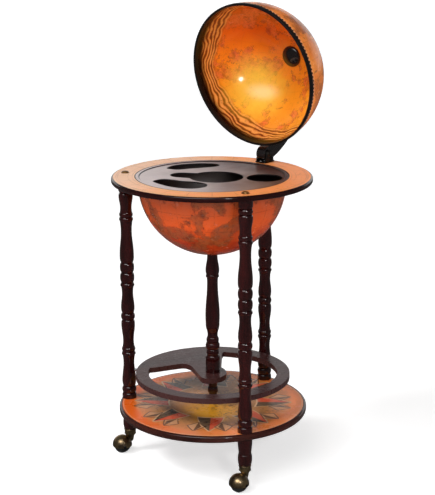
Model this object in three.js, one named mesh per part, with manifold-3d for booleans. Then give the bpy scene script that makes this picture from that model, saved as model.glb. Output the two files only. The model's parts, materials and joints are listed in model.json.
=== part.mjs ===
// A floor-standing globe bar, in millimetres, +Z up. The origin is the centre of the lower
// shelf's underside. Three turned legs on ball casters carry a shelf, a tier above it and a
// horizon ring. The bowl hangs in the ring, and the lid, the upper half of the globe, hangs on a
// meridian arm that turns on a hinge over the back right leg. The lid stands open.

import * as THREE from "three";
import { mergeVertices } from "three/addons/utils/BufferGeometryUtils.js";
import Module from "manifold-3d";

const wasm = await Module();
wasm.setup();

// Clearances, and the sides of round pieces
const fitGap = 0.3; // round a stud, pin or spigot in its bore, and between curved faces
const seatGap = 0.2; // under a flat face that rests on another
const overrun = 1; // by which a cut passes the face that it opens
const weldDistance = 1e-4; // within which vertices of one piece are the same
const roundSides = 40; // boards, bowl and lid
const turnedSides = 12; // spindles, studs and caps
const wheelSides = 16;
const halfTurn = Math.PI;
const fullTurn = 2 * Math.PI;

// Boards
const boardEdge = 1.5; // chamfer on the edges of the boards
const shelfThickness = 15.5;
const shelfMargin = 1.8; // of the shelf past the legs
const seatDepth = 2.5; // shallow sockets in the shelf for legs, feet and post
const tierThickness = 12.4;
const tierGap = 3.8; // between the tier's edge and the legs at their widest
const tierHeight = 61.6; // from the shelf's top to the tier's underside
const tierFrontBand = 29; // from the tier's edge to its opening
const tierBackBand = 39;
const ringThickness = 12.4;
const ringBand = 53.5; // from the ring's rebate to its edge
const ringLedgeWidth = 4;
const ringRebateDepth = 6;

// Legs and feet
const legNames = ["left", "front_right", "back_right"];
const legAzimuth = THREE.MathUtils.degToRad(170.8);
const legInset = 26.9; // from the ring's edge to the middle of a leg
const legHeight = 524.5; // from the shelf's top to the ring's underside
const legRadius = 16.7;
const legJointShare = 0.396; // where the lower spindle ends and the upper one starts
const footHeight = 62.3; // from the shelf's underside to the caster's cup
const studRadius = 4;
const studDepth = 20; // of a stud in the end of a spindle
const legBoltRadius = 3.5;
const legBoltDepth = 38; // of the bolt in the leg
const legBoltHeadRadius = 6;
const legBoltHeadHeight = 3.3;
const counterboreDepth = 4;
const ringCapRadius = 9;
const ringCapHeight = 3;
const ringCapBrim = 1.2;
const pinRadius = 3.5; // of the pins that hold the tier to the legs
const pinDepth = 12; // of a pin in the tier's edge
const pinLegDepth = 11; // of a pin past the leg's face

// Ball casters
const trailAzimuths = [200, 228, 210].map(THREE.MathUtils.degToRad); // as they stand
const cupRadius = 14.4;
const cupHeight = 13.5;
const cupWall = 2.2;
const stemRadius = 4;
const stemDepth = 26; // of the stem above the cup's floor
const trail = 20; // from the swivel's axis to the wheel's
const wheelRadius = 20;
const wheelWidth = 32;
const wheelDrop = 24.6; // from the cup's floor to the axle
const treadWidth = 10;
const hoodGap = 1.3;
const hoodWall = 1.5;
const hoodSkirt = 3; // by which the hood reaches below the axle's middle
const collarRadius = 11;
const collarHeight = 2.7;
const axleRadius = 2.5;

// Centre post
const postRadius = 16.5;
const postStudDepth = 22; // of the stud in the upper spindle
const neckStudDepth = 18; // of a stud in either end of the lower one
const postSocketShare = 0.7; // of the shelf's thickness that the base stud goes down
const bowlBoltDepth = 30;
const bowlBoltHeadRadius = 9;
const bowlBoltHeadHeight = 3;

// Bowl, its floor and the tray
const globeRadius = 166; // of the bowl and of the lid
const bowlWall = 3;
const bowlDrop = 12.5; // from the ring's top to the centre of the bowl
const bowlGap = 1.5; // round the bowl in the ring's hole, and round the tray's panel in the bowl
const flangeGap = 0.5; // round the flange in the ring's rebate
const flangeThickness = 2.5;
const floorThickness = 6;
const floorDepthShare = 0.66; // of the bowl's radius, from its centre down to the floor's top
const trayPanelThickness = 3;
const trayRimThickness = 3;
const trayRimStep = 1.8; // from the top of the rim down to the panel
const trayRimWidth = 7.5;

// Lid, arm and hinge
const hingeLeg = legNames.indexOf("back_right"); // the leg under the hinge
const openAngle = THREE.MathUtils.degToRad(79.7);
const lidWall = 3;
const lidGap = 1; // from the ring's top to the rim of the closed lid
const bandHeight = 5;
const bandProud = 1.2; // by which the rim band stands out of the shell on either side
const pivotInset = 5.2; // from the middle of the leg towards the ring's axis
const pivotHeight = 20.3; // above the ring's top
const armWidth = 33;
const armThickness = 22;
const armEdge = 1.6;
const hingePinRadius = 4;
const pinHeadRadius = 6;
const pinHeadHeight = 2;
const earThickness = 3;
const earGap = 0.5;
const earRadius = 9.5; // round the hinge pin
const earFootLength = 26;
const plateThickness = 3;
const plateInner = 17.5; // from the pivot towards the ring's axis
const plateCorner = 4;
const stopThickness = 3;
const innerScrewReach = 13; // from the pivot towards the ring's axis
const screwMargin = 0.8; // between the outer screw and the leg's bolt, and round its head
const screwRadius = 2;
const screwDepth = 8;
const screwHeadRadius = 3.4;
const screwHeadHeight = 1.8;
const spacerRadius = 14;
const poleBoltRadius = 4;
const poleBoltEngagement = 5.5; // in the cap and in the finial
const innerCapRadius = 21.5;
const innerCapHeight = 9.5;
const innerCapRim = 1.5;
const finialRadius = 12;
const finialHeight = 18;

// Outlines of the turned pieces: the height and the radius of each point, as shares of the
// piece's own height and largest radius.
const legShares = [
  [0, 1], [0.016, 1], [0.026, 0.8], [0.041, 1], [0.056, 0.78], [0.066, 0.86],
  [0.083, 0.97], [0.116, 0.89], [0.162, 0.76], [0.19, 0.84], [0.205, 0.98], [0.218, 0.77],
  [0.232, 0.96], [0.246, 0.84], [0.27, 0.75], [0.301, 0.84], [0.343, 0.95], [0.366, 0.76],
  [0.38, 0.97], [legJointShare, 0.76], [0.407, 0.87], [0.421, 0.94], [0.453, 0.84], [0.485, 0.77],
  [0.505, 0.82], [0.521, 0.97], [0.535, 0.76], [0.558, 0.98], [0.581, 0.75], [0.604, 0.98],
  [0.626, 0.76], [0.65, 0.98], [0.685, 0.96], [0.721, 0.84], [0.762, 0.75], [0.797, 0.8],
  [0.817, 0.96], [0.83, 0.78], [0.844, 0.94], [0.87, 0.78], [0.923, 0.97], [0.938, 0.76],
  [0.95, 0.97], [0.962, 0.76], [0.972, 0.97], [1, 0.97],
];
const footShares = [
  [0, 1], [0.13, 0.98], [0.33, 0.95], [0.55, 0.86], [0.62, 0.84], [0.67, 0.93],
  [0.78, 0.96], [0.9, 0.88], [1, 0.77],
];
const footSpigotShare = 0.7; // of the foot's radius, inside the caster's cup
const neckShares = [
  [0, 0.62], [0.3, 0.56], [0.38, 0.6], [0.49, 0.75], [0.6, 0.62], [0.84, 0.61], [1, 0.66],
];
const postShares = [
  [0, 1], [0.12, 1], [0.145, 0.8], [0.17, 0.87], [0.195, 0.78], [0.205, 0.8],
  [0.226, 0.99], [0.25, 0.82], [0.27, 0.86], [0.285, 0.86], [0.325, 0.71], [0.345, 0.78],
  [0.38, 0.97], [0.48, 1], [0.56, 0.95], [0.7, 0.78], [0.772, 0.75], [0.79, 0.8],
  [0.805, 0.92], [0.825, 0.84], [0.86, 0.95], [0.91, 0.88], [0.97, 0.72], [1, 0.69],
];
const finialShares = [
  [0, 1], [0.2, 1], [0.28, 0.45], [0.42, 0.38], [0.55, 0.6], [0.72, 0.7], [0.9, 0.52],
];
const hoodNeckShares = [
  [1, 0], [0.85, 0.45], [0.5, 0.72], [0.25, 0.82],
];
const ringCapShares = [
  [0.8, 0.8], [0.4, 1], [0, 1],
];
const innerCapShares = [1, 0.92, 0.75, 0.5, 0.2, 0]; // radii of the cap's dome

// Outlines in plan, as shares of the radius of the board that they lie in
const tierLobeShares = [
  [0.126, 0.676], [0.115, 0.344], [0.112, 0.172], [0.155, 0.08], [0.18, -0.046],
  [0.149, -0.16], [0.069, -0.24], [-0.034, -0.281], [-0.115, -0.264], [-0.166, -0.172],
  [-0.206, -0.029], [-0.246, 0.103], [-0.298, 0.229], [-0.378, 0.298], [-0.487, 0.269],
  [-0.745, 0.16],
];
const frontGlassShares = [
  [-0.758, -0.315], [-0.723, -0.233], [-0.636, -0.169], [-0.507, -0.21], [-0.385, -0.292],
  [-0.268, -0.327], [-0.152, -0.385], [-0.07, -0.49], [-0.064, -0.595], [-0.111, -0.682],
  [-0.233, -0.746], [-0.379, -0.723], [-0.531, -0.63], [-0.671, -0.466],
];
const backGlassShares = [
  [-0.606, 0.536], [-0.513, 0.711], [-0.35, 0.805], [-0.146, 0.851], [0.03, 0.816],
  [0.105, 0.711], [0.03, 0.612], [-0.117, 0.554], [-0.292, 0.49], [-0.443, 0.431],
  [-0.554, 0.466],
];
// Round openings of the tray: the place and the radius, as shares of the tray's radius
const wellShares = [0.058, -0.052, 0.35];
const bayShares = [-0.397, 0.082, 0.15];
const bottleHoleShares = [0.682, -0.117, 0.234];
const tierOpeningStart = THREE.MathUtils.degToRad(170.5); // round the front to the back
const tierOpeningEnd = THREE.MathUtils.degToRad(439.4);
const arcSteps = 8; // facets from a pole to the equator
const tierArcSteps = 26;
const tierLobeSteps = 34;
const glassSteps = 26;
const armSteps = 6;

// Radii that follow
const ringHoleRadius = globeRadius + bowlGap;
const ringRebateRadius = ringHoleRadius + ringLedgeWidth;
const ringRadius = ringRebateRadius + ringBand;
const flangeRadius = ringRebateRadius - flangeGap;
const bowlInner = globeRadius - bowlWall;
const trayPanelRadius = bowlInner - bowlGap;
const legCircleRadius = ringRadius - legInset;
const shelfRadius = legCircleRadius + legRadius + shelfMargin;
const tierRadius = legCircleRadius - legRadius - tierGap;
const lidInner = globeRadius - lidWall;
const pivotRadius = legCircleRadius - pivotInset; // from the ring's axis
const outerScrewReach = pivotInset + legBoltHeadRadius + screwRadius + 2 * fitGap + screwMargin;
const plateOuter = outerScrewReach + screwHeadRadius + screwMargin + stopThickness;

// Heights that follow
const shelfTop = shelfThickness;
const ringUnderside = shelfTop + legHeight;
const ringTop = ringUnderside + ringThickness;
const ringLedge = ringTop - ringRebateDepth;
const tierUnderside = shelfTop + tierHeight;
const tierTop = tierUnderside + tierThickness;
const bowlCentre = ringTop - bowlDrop;
const cupFloor = -footHeight - cupHeight;
const axleHeight = cupFloor - wheelDrop;
const pivotLift = pivotHeight - lidGap; // from the lid's centre up to the pivot, lid closed
const armRadius = Math.hypot(pivotRadius, pivotLift);
const armOuter = armRadius + armWidth / 2;
const armInner = armRadius - armWidth / 2;

// Finishes
const finish = (color, roughness, metalness = 0) =>
  new THREE.MeshStandardMaterial({ color, roughness, metalness });
const finishes = {
  mahogany: () => finish(0x34191a, 0.28),
  tierBoard: () => finish(0x4a3234, 0.25),
  printedBoard: () => finish(0xc8702f, 0.35),
  globeShell: () => finish(0xb4532a, 0.3),
  lidShell: () => finish(0xd0722c, 0.3),
  blackLacquer: () => finish(0x191415, 0.3),
  trayBoard: () => finish(0x6a5c5e, 0.3),
  bronze: () => finish(0x6b5230, 0.35, 1),
  brass: () => finish(0xa87a36, 0.35, 1),
  steel: () => finish(0x8a8a8c, 0.4, 1),
  rubber: () => finish(0x151515, 0.6),
};

// A geometry with one vertex per place and no triangle without area
function welded(geometry) {
  const bare = geometry.clone();
  bare.deleteAttribute("normal");
  bare.deleteAttribute("uv");
  const merged = mergeVertices(bare, weldDistance);
  const corners = merged.index.array;
  const kept = [];
  for (let i = 0; i < corners.length; i += 3) {
    const [a, b, c] = corners.slice(i, i + 3);
    if (a !== b && b !== c && c !== a) kept.push(a, b, c);
  }
  merged.setIndex(kept);
  return merged;
}

// A closed geometry as a solid that can be cut and joined
function solidOf(geometry) {
  const merged = welded(geometry);
  return new wasm.Manifold(
    new wasm.Mesh({
      numProp: 3,
      vertProperties: merged.attributes.position.array,
      triVerts: new Uint32Array(merged.index.array),
    }),
  );
}

function geometryOf(solid) {
  const { numProp, vertProperties, triVerts } = solid.getMesh();
  const places = new Float32Array((vertProperties.length / numProp) * 3);
  for (let i = 0; i * numProp < vertProperties.length; i++)
    places.set(vertProperties.subarray(i * numProp, i * numProp + 3), i * 3);
  return new THREE.BufferGeometry()
    .setAttribute("position", new THREE.BufferAttribute(places, 3))
    .setIndex(new THREE.BufferAttribute(triVerts, 1));
}

function cut(geometry, ...cutters) {
  let rest = solidOf(geometry);
  for (const cutter of cutters) rest = rest.subtract(solidOf(cutter));
  return geometryOf(rest);
}

function joined(...geometries) {
  return geometryOf(geometries.map(solidOf).reduce((whole, next) => whole.add(next)));
}

// A turned piece round Z from the [radius, height] points of its outline, which starts and ends
// on the axis, or is a ring's whole section
function turned(outline, sides = turnedSides) {
  let area = 0;
  outline.forEach(([r, z], i) => {
    const [r2, z2] = outline[(i + 1) % outline.length];
    area += r * z2 - r2 * z;
  });
  const rising = area > 0 ? outline : [...outline].reverse();
  const points = rising.map(([r, z]) => new THREE.Vector2(r, z));
  if (points[0].x > 0) points.push(points[0].clone());
  return welded(new THREE.LatheGeometry(points, sides).rotateX(halfTurn / 2));
}

// A plain round bar along Z
const bar = (radius, low, high, sides = turnedSides) =>
  turned([[0, low], [radius, low], [radius, high], [0, high]], sides);

// A shape in plan made a board from one height to another
function board(shape, low, high, curveSegments = armSteps) {
  const depth = high - low;
  return new THREE.ExtrudeGeometry(shape, { depth, bevelEnabled: false, curveSegments }).translate(0, 0, low);
}

// The section of a round board with chamfered edges
const boardOutline = (radius, low, high) => [
  [0, low], [radius - boardEdge, low], [radius, low + boardEdge],
  [radius, high - boardEdge], [radius - boardEdge, high], [0, high],
];

// Points [radius, height] on an arc about a centre on the axis, by elevation
function arcPoints(radius, centre, from, to) {
  const points = [];
  for (let i = 0; i <= arcSteps; i++) {
    const angle = THREE.MathUtils.lerp(from, to, i / arcSteps);
    points.push([radius * Math.cos(angle), centre + radius * Math.sin(angle)]);
  }
  return points;
}

// By how much a facet of such an arc lies inside it
const facetSag = (radius) => radius * (1 - Math.cos(halfTurn / 4 / arcSteps));

// A smooth closed shape through points given as shares of a radius
function shareShape(shares, radius, steps) {
  const points = shares.map(([x, y]) => new THREE.Vector3(x * radius, y * radius, 0));
  const loop = new THREE.CatmullRomCurve3(points, true).getPoints(steps);
  return new THREE.Shape(loop.slice(0, -1).map(({ x, y }) => new THREE.Vector2(x, y)));
}

const circleShape = (x, y, radius) => new THREE.Shape().absarc(x, y, radius, 0, fullTurn);

// A straight slot with round ends between two places
function slotShape([x1, y1], [x2, y2], radius) {
  const along = Math.atan2(y2 - y1, x2 - x1);
  return new THREE.Shape()
    .absarc(x1, y1, radius, along + halfTurn / 2, along + 1.5 * halfTurn)
    .absarc(x2, y2, radius, along - halfTurn / 2, along + halfTurn / 2);
}

function piece(name, geometry, material) {
  const mesh = new THREE.Mesh(geometry, material());
  mesh.name = name;
  return mesh;
}

function group(...children) {
  const holder = new THREE.Group();
  holder.add(...children);
  return holder;
}

const legAngle = (i) => legAzimuth + (i * fullTurn) / legNames.length;
const studHoleRadius = studRadius + fitGap;

// A geometry moved from the axis of the bar to the place of each leg
const atLegs = (geometry) =>
  legNames.map((_, i) => geometry.clone().translate(legCircleRadius, 0, 0).rotateZ(legAngle(i)));

function horizonRing() {
  const chamfered = [
    [ringHoleRadius, ringUnderside], [ringRadius - boardEdge, ringUnderside],
    [ringRadius, ringUnderside + boardEdge], [ringRadius, ringTop - boardEdge],
    [ringRadius - boardEdge, ringTop], [ringRebateRadius, ringTop],
    [ringRebateRadius, ringLedge], [ringHoleRadius, ringLedge],
  ];
  const boltHole = joined(
    bar(legBoltRadius + fitGap, ringUnderside - overrun, ringTop + overrun),
    bar(legBoltHeadRadius + fitGap, ringTop - counterboreDepth, ringTop + overrun),
  );
  const screwHole = bar(screwRadius + fitGap, ringTop - screwDepth - overrun, ringTop + overrun);
  const screwHoles = [-innerScrewReach, outerScrewReach].map((reach) =>
    screwHole.clone().translate(pivotRadius + reach, 0, 0).rotateZ(legAngle(hingeLeg)),
  );
  return piece(
    "horizon_ring",
    cut(turned(chamfered, roundSides), ...atLegs(boltHole), ...screwHoles),
    finishes.printedBoard,
  );
}

function bottomShelf() {
  const seat = legRadius + fitGap;
  const legSockets = joined(
    bar(seat, shelfTop - seatDepth, shelfTop + overrun),
    bar(studHoleRadius, -overrun, shelfTop + overrun),
    bar(seat, -overrun, seatDepth),
  );
  const postSocket = joined(
    bar(neckShares[0][1] * postRadius + fitGap, shelfTop - seatDepth, shelfTop + overrun),
    bar(studHoleRadius, shelfTop * (1 - postSocketShare), shelfTop + overrun),
  );
  return piece(
    "bottom_shelf",
    cut(turned(boardOutline(shelfRadius, 0, shelfTop), roundSides), ...atLegs(legSockets), postSocket),
    finishes.printedBoard,
  );
}

// The solid of a spindle between two heights, with a blind bore in either end
function spindle(outline, lowBore, highBore) {
  const low = outline[0][1];
  const high = outline.at(-1)[1];
  return turned([
    [0, low + lowBore.depth], [lowBore.radius, low + lowBore.depth], [lowBore.radius, low],
    ...outline,
    [highBore.radius, high], [highBore.radius, high - highBore.depth], [0, high - highBore.depth],
  ]);
}

const boreFor = (radius, depth) => ({ radius: radius + fitGap, depth: depth + fitGap });

// A bore at the end of an outline that runs downwards has its depth the other way
const turnedOver = ({ radius, depth }) => ({ radius, depth: -depth });

function leg(name, i) {
  const place = ([height, radius]) => [radius * legRadius, shelfTop + height * legHeight];
  const jointHeight = shelfTop + legJointShare * legHeight;
  const lowerPoints = legShares.filter(([height]) => height < legJointShare).map(place);
  const upperPoints = legShares.filter(([height]) => height > legJointShare).map(place);
  const jointRadius = legShares.find(([height]) => height === legJointShare)[1] * legRadius;
  lowerPoints[0][1] += seatGap - seatDepth;
  lowerPoints.push([jointRadius, jointHeight - seatGap / 2]);
  upperPoints.unshift([jointRadius, jointHeight + seatGap / 2]);
  upperPoints.at(-1)[1] -= seatGap;

  const studBore = boreFor(studRadius, studDepth);
  const pinHole = bar(pinRadius + fitGap, -legCircleRadius, pinLegDepth - legRadius + fitGap)
    .rotateY(halfTurn / 2)
    .translate(0, 0, (tierUnderside + tierTop) / 2);
  const pinStart = tierRadius - pinDepth - legCircleRadius;
  const footTop = seatDepth - seatGap;
  const footPoints = footShares.map(([height, radius]) => [radius * legRadius, -height * footHeight]);
  footPoints[0][1] = footTop;
  const spigotRadius = footSpigotShare * legRadius;
  const spigotEnd = cupFloor + cupWall + seatGap;
  footPoints.push([spigotRadius, -footHeight], [spigotRadius, spigotEnd]);
  const cup = [
    [stemRadius + fitGap, cupFloor], [cupRadius - cupWall / 2, cupFloor], [cupRadius, cupFloor + cupWall / 2],
    [cupRadius, -footHeight - seatGap], [spigotRadius + fitGap, -footHeight - seatGap],
    [spigotRadius + fitGap, cupFloor + cupWall], [stemRadius + fitGap, cupFloor + cupWall],
  ];
  const boltHeadSeat = ringTop - counterboreDepth + seatGap;
  const bolt = turned([
    [0, ringUnderside - legBoltDepth], [legBoltRadius, ringUnderside - legBoltDepth],
    [legBoltRadius, boltHeadSeat], [legBoltHeadRadius, boltHeadSeat],
    [legBoltHeadRadius, boltHeadSeat + legBoltHeadHeight], [0, boltHeadSeat + legBoltHeadHeight],
  ]);
  const lower = cut(spindle(lowerPoints, studBore, studBore), pinHole);
  const upper = spindle(upperPoints, studBore, boreFor(legBoltRadius, legBoltDepth));
  const dowel = bar(studRadius, jointHeight - studDepth, jointHeight + studDepth);
  const footStud = bar(studRadius, footTop - studDepth, shelfTop - seatDepth + studDepth);
  const foot = spindle(footPoints, turnedOver(studBore), turnedOver(boreFor(stemRadius, stemDepth)));
  const tierPin = bar(pinRadius, pinStart, pinLegDepth - legRadius)
    .rotateY(halfTurn / 2)
    .translate(0, 0, (tierUnderside + tierTop) / 2);
  const holder = group(
    piece("leg_lower_" + name, lower, finishes.mahogany),
    piece("leg_upper_" + name, upper, finishes.mahogany),
    piece("leg_dowel_" + name, dowel, finishes.steel),
    piece("leg_bolt_" + name, bolt, finishes.steel),
    piece("foot_stud_" + name, footStud, finishes.steel),
    piece("foot_" + name, foot, finishes.mahogany),
    piece("tier_pin_" + name, tierPin, finishes.steel),
    piece("caster_cup_" + name, turned(cup), finishes.bronze),
    caster(name, trailAzimuths[i] - legAngle(i)),
  );
  if (i !== hingeLeg) holder.add(ringCap(name));
  holder.position.set(legCircleRadius, 0, 0);
  const turn = group(holder);
  turn.rotation.z = legAngle(i);
  return turn;
}

function ringCap(name) {
  const base = ringTop + seatGap;
  const dome = [
    [0, base], [ringCapRadius, base], [ringCapRadius, base + ringCapBrim],
    ...ringCapShares.map(([radius, height]) => [radius * ringCapRadius, base + height * ringCapHeight]),
  ];
  return piece("ring_cap_" + name, turned(dome), finishes.brass);
}

// A ball caster under its cup: the hood swivels on its stem, and the wheel turns on the axle
function caster(name, turn) {
  const collarTop = cupFloor - seatGap;
  const collarFoot = collarTop - collarHeight;
  const hoodInner = wheelRadius + hoodGap;
  const hoodOuter = hoodInner + hoodWall;
  const neckHeight = collarFoot - axleHeight;
  const stem = turned([
    ...hoodNeckShares.map(([drop, radius]) => [radius * collarRadius, collarFoot - drop * neckHeight]),
    [collarRadius, collarFoot], [collarRadius, collarTop], [stemRadius, collarTop],
    [stemRadius, cupFloor + stemDepth], [0, cupFloor + stemDepth],
  ]);
  const ball = (radius) =>
    new THREE.SphereGeometry(radius, wheelSides, arcSteps)
      .rotateX(halfTurn / 2)
      .translate(trail, 0, axleHeight);
  const axleBar = (radius, half) =>
    bar(radius, -half, half).rotateX(halfTurn / 2).translate(trail, 0, axleHeight);
  const below = new THREE.BoxGeometry(4 * hoodOuter, 4 * hoodOuter, 4 * hoodOuter)
    .translate(trail, 0, axleHeight - hoodSkirt - 2 * hoodOuter);
  const axleHole = axleBar(axleRadius + fitGap, 2 * hoodOuter);
  const hood = cut(joined(ball(hoodOuter), stem), ball(hoodInner), below, axleHole);
  const treadEdge = treadWidth / 2;
  const wheelEdge = wheelWidth / 2;
  const shoulderEdge = wheelWidth / 3;
  const shoulder = Math.sqrt(wheelRadius ** 2 - shoulderEdge ** 2);
  const side = Math.sqrt(wheelRadius ** 2 - wheelEdge ** 2);
  const bore = axleRadius + fitGap;
  const wheel = turned(
    [
      [bore, -wheelEdge], [side, -wheelEdge], [shoulder, -shoulderEdge], [wheelRadius, -treadEdge],
      [wheelRadius, treadEdge], [shoulder, shoulderEdge], [side, wheelEdge], [bore, wheelEdge],
    ],
    wheelSides,
  ).rotateX(halfTurn / 2).translate(trail, 0, axleHeight);
  const swivel = group(
    piece("caster_hood_" + name, hood, finishes.bronze),
    piece("caster_axle_" + name, axleBar(axleRadius, hoodOuter - hoodWall / 2), finishes.steel),
    piece("caster_wheel_" + name, wheel, finishes.rubber),
  );
  swivel.rotation.z = turn;
  return swivel;
}

// The opening of the tier: an arc inside its edge, and the spoke's and the hub's outline
function tierOpening() {
  const outline = [];
  for (let i = 0; i <= tierArcSteps; i++) {
    const azimuth = THREE.MathUtils.lerp(tierOpeningStart, tierOpeningEnd, i / tierArcSteps);
    const back = THREE.MathUtils.smoothstep(azimuth, fullTurn, tierOpeningEnd);
    const radius = tierRadius - THREE.MathUtils.lerp(tierFrontBand, tierBackBand, back);
    outline.push(new THREE.Vector2(radius * Math.cos(azimuth), radius * Math.sin(azimuth)));
  }
  const lobe = new THREE.SplineCurve(
    tierLobeShares.map(([x, y]) => new THREE.Vector2(x * tierRadius, y * tierRadius)),
  );
  return new THREE.Shape([...outline, ...lobe.getPoints(tierLobeSteps)]);
}

function middleTier() {
  const pinHole = bar(pinRadius + fitGap, tierRadius - pinDepth - fitGap, tierRadius + overrun)
    .rotateY(halfTurn / 2)
    .translate(0, 0, (tierUnderside + tierTop) / 2);
  return piece(
    "middle_tier",
    cut(
      turned(boardOutline(tierRadius, tierUnderside, tierTop), roundSides),
      board(tierOpening(), tierUnderside - overrun, tierTop + overrun),
      bar(studHoleRadius, tierUnderside - overrun, tierTop + overrun),
      ...legNames.map((_, i) => pinHole.clone().rotateZ(legAngle(i))),
    ),
    finishes.tierBoard,
  );
}

function centrePost() {
  const neckFoot = shelfTop - seatDepth + seatGap;
  const neckEnd = tierUnderside - seatGap;
  const blockFoot = tierTop + seatGap;
  const bowlFoot = bowlCentre - globeRadius;
  const postEnd = bowlFoot - fitGap;
  const place = (shares, low, high) =>
    shares.map(([height, radius]) => [radius * postRadius, THREE.MathUtils.lerp(low, high, height)]);
  const baseStudDepth = shelfTop * postSocketShare - seatGap;
  const headSeat = bowlFoot + bowlWall + facetSag(bowlInner) + fitGap;
  const bowlBolt = turned([
    [0, postEnd - bowlBoltDepth], [studRadius, postEnd - bowlBoltDepth], [studRadius, headSeat],
    [bowlBoltHeadRadius, headSeat], [bowlBoltHeadRadius, headSeat + bowlBoltHeadHeight / 2],
    [bowlBoltHeadRadius / 2, headSeat + bowlBoltHeadHeight], [0, headSeat + bowlBoltHeadHeight],
  ]);
  const neckBore = boreFor(studRadius, neckStudDepth);
  const neck = spindle(place(neckShares, neckFoot, neckEnd), neckBore, neckBore);
  const upperPoints = place(postShares, blockFoot, postEnd);
  const upperBore = boreFor(studRadius, postStudDepth);
  const upper = spindle(upperPoints, upperBore, boreFor(studRadius, bowlBoltDepth));
  const stud = bar(studRadius, neckEnd - neckStudDepth, blockFoot + postStudDepth);
  const baseStud = bar(studRadius, shelfTop - baseStudDepth, neckFoot + neckStudDepth);
  return [
    piece("post_lower", neck, finishes.mahogany),
    piece("post_upper", upper, finishes.mahogany),
    piece("post_stud", stud, finishes.steel),
    piece("post_base_stud", baseStud, finishes.steel),
    piece("bowl_bolt", bowlBolt, finishes.steel),
  ];
}

function bowl() {
  const poleAngle = (radius) => Math.acos(studHoleRadius / radius);
  const flangeFoot = ringLedge + seatGap;
  const flangeTop = flangeFoot + flangeThickness;
  const outline = [
    ...arcPoints(globeRadius, bowlCentre, -poleAngle(globeRadius), 0),
    [globeRadius, flangeFoot], [flangeRadius, flangeFoot], [flangeRadius, flangeTop], [bowlInner, flangeTop],
    ...arcPoints(bowlInner, bowlCentre, 0, -poleAngle(bowlInner)),
  ];
  return piece("bowl", turned(outline, roundSides), finishes.globeShell);
}

function bowlFloor() {
  const top = bowlCentre - floorDepthShare * globeRadius;
  const foot = top - floorThickness;
  const wallAt = (height) =>
    Math.sqrt((bowlInner - facetSag(bowlInner) - fitGap) ** 2 - (bowlCentre - height) ** 2);
  return piece(
    "bowl_floor",
    turned([[0, foot], [wallAt(foot), foot], [wallAt(top), top], [0, top]], roundSides),
    finishes.blackLacquer,
  );
}

function tray() {
  const rimFoot = ringLedge + 2 * seatGap + flangeThickness;
  const rimTop = rimFoot + trayRimThickness;
  const panelTop = rimTop - trayRimStep;
  const panelFoot = panelTop - trayPanelThickness;
  const outline = [
    [0, panelFoot], [trayPanelRadius, panelFoot], [trayPanelRadius, rimFoot], [flangeRadius, rimFoot],
    [flangeRadius, rimTop], [flangeRadius - trayRimWidth, rimTop], [trayPanelRadius, panelTop], [0, panelTop],
  ];
  const [well, bay, bottleHole] = [wellShares, bayShares, bottleHoleShares].map((shares) =>
    shares.map((share) => share * flangeRadius),
  );
  const openings = [
    shareShape(frontGlassShares, flangeRadius, glassSteps),
    shareShape(backGlassShares, flangeRadius, glassSteps),
    circleShape(...well),
    slotShape(bay, well, bay[2]),
    circleShape(...bottleHole),
  ];
  const cutters = openings.map((shape) => board(shape, panelFoot - overrun, rimTop + overrun, 2 * armSteps));
  return piece("tray", cut(turned(outline, roundSides), ...cutters), finishes.trayBoard);
}

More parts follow.
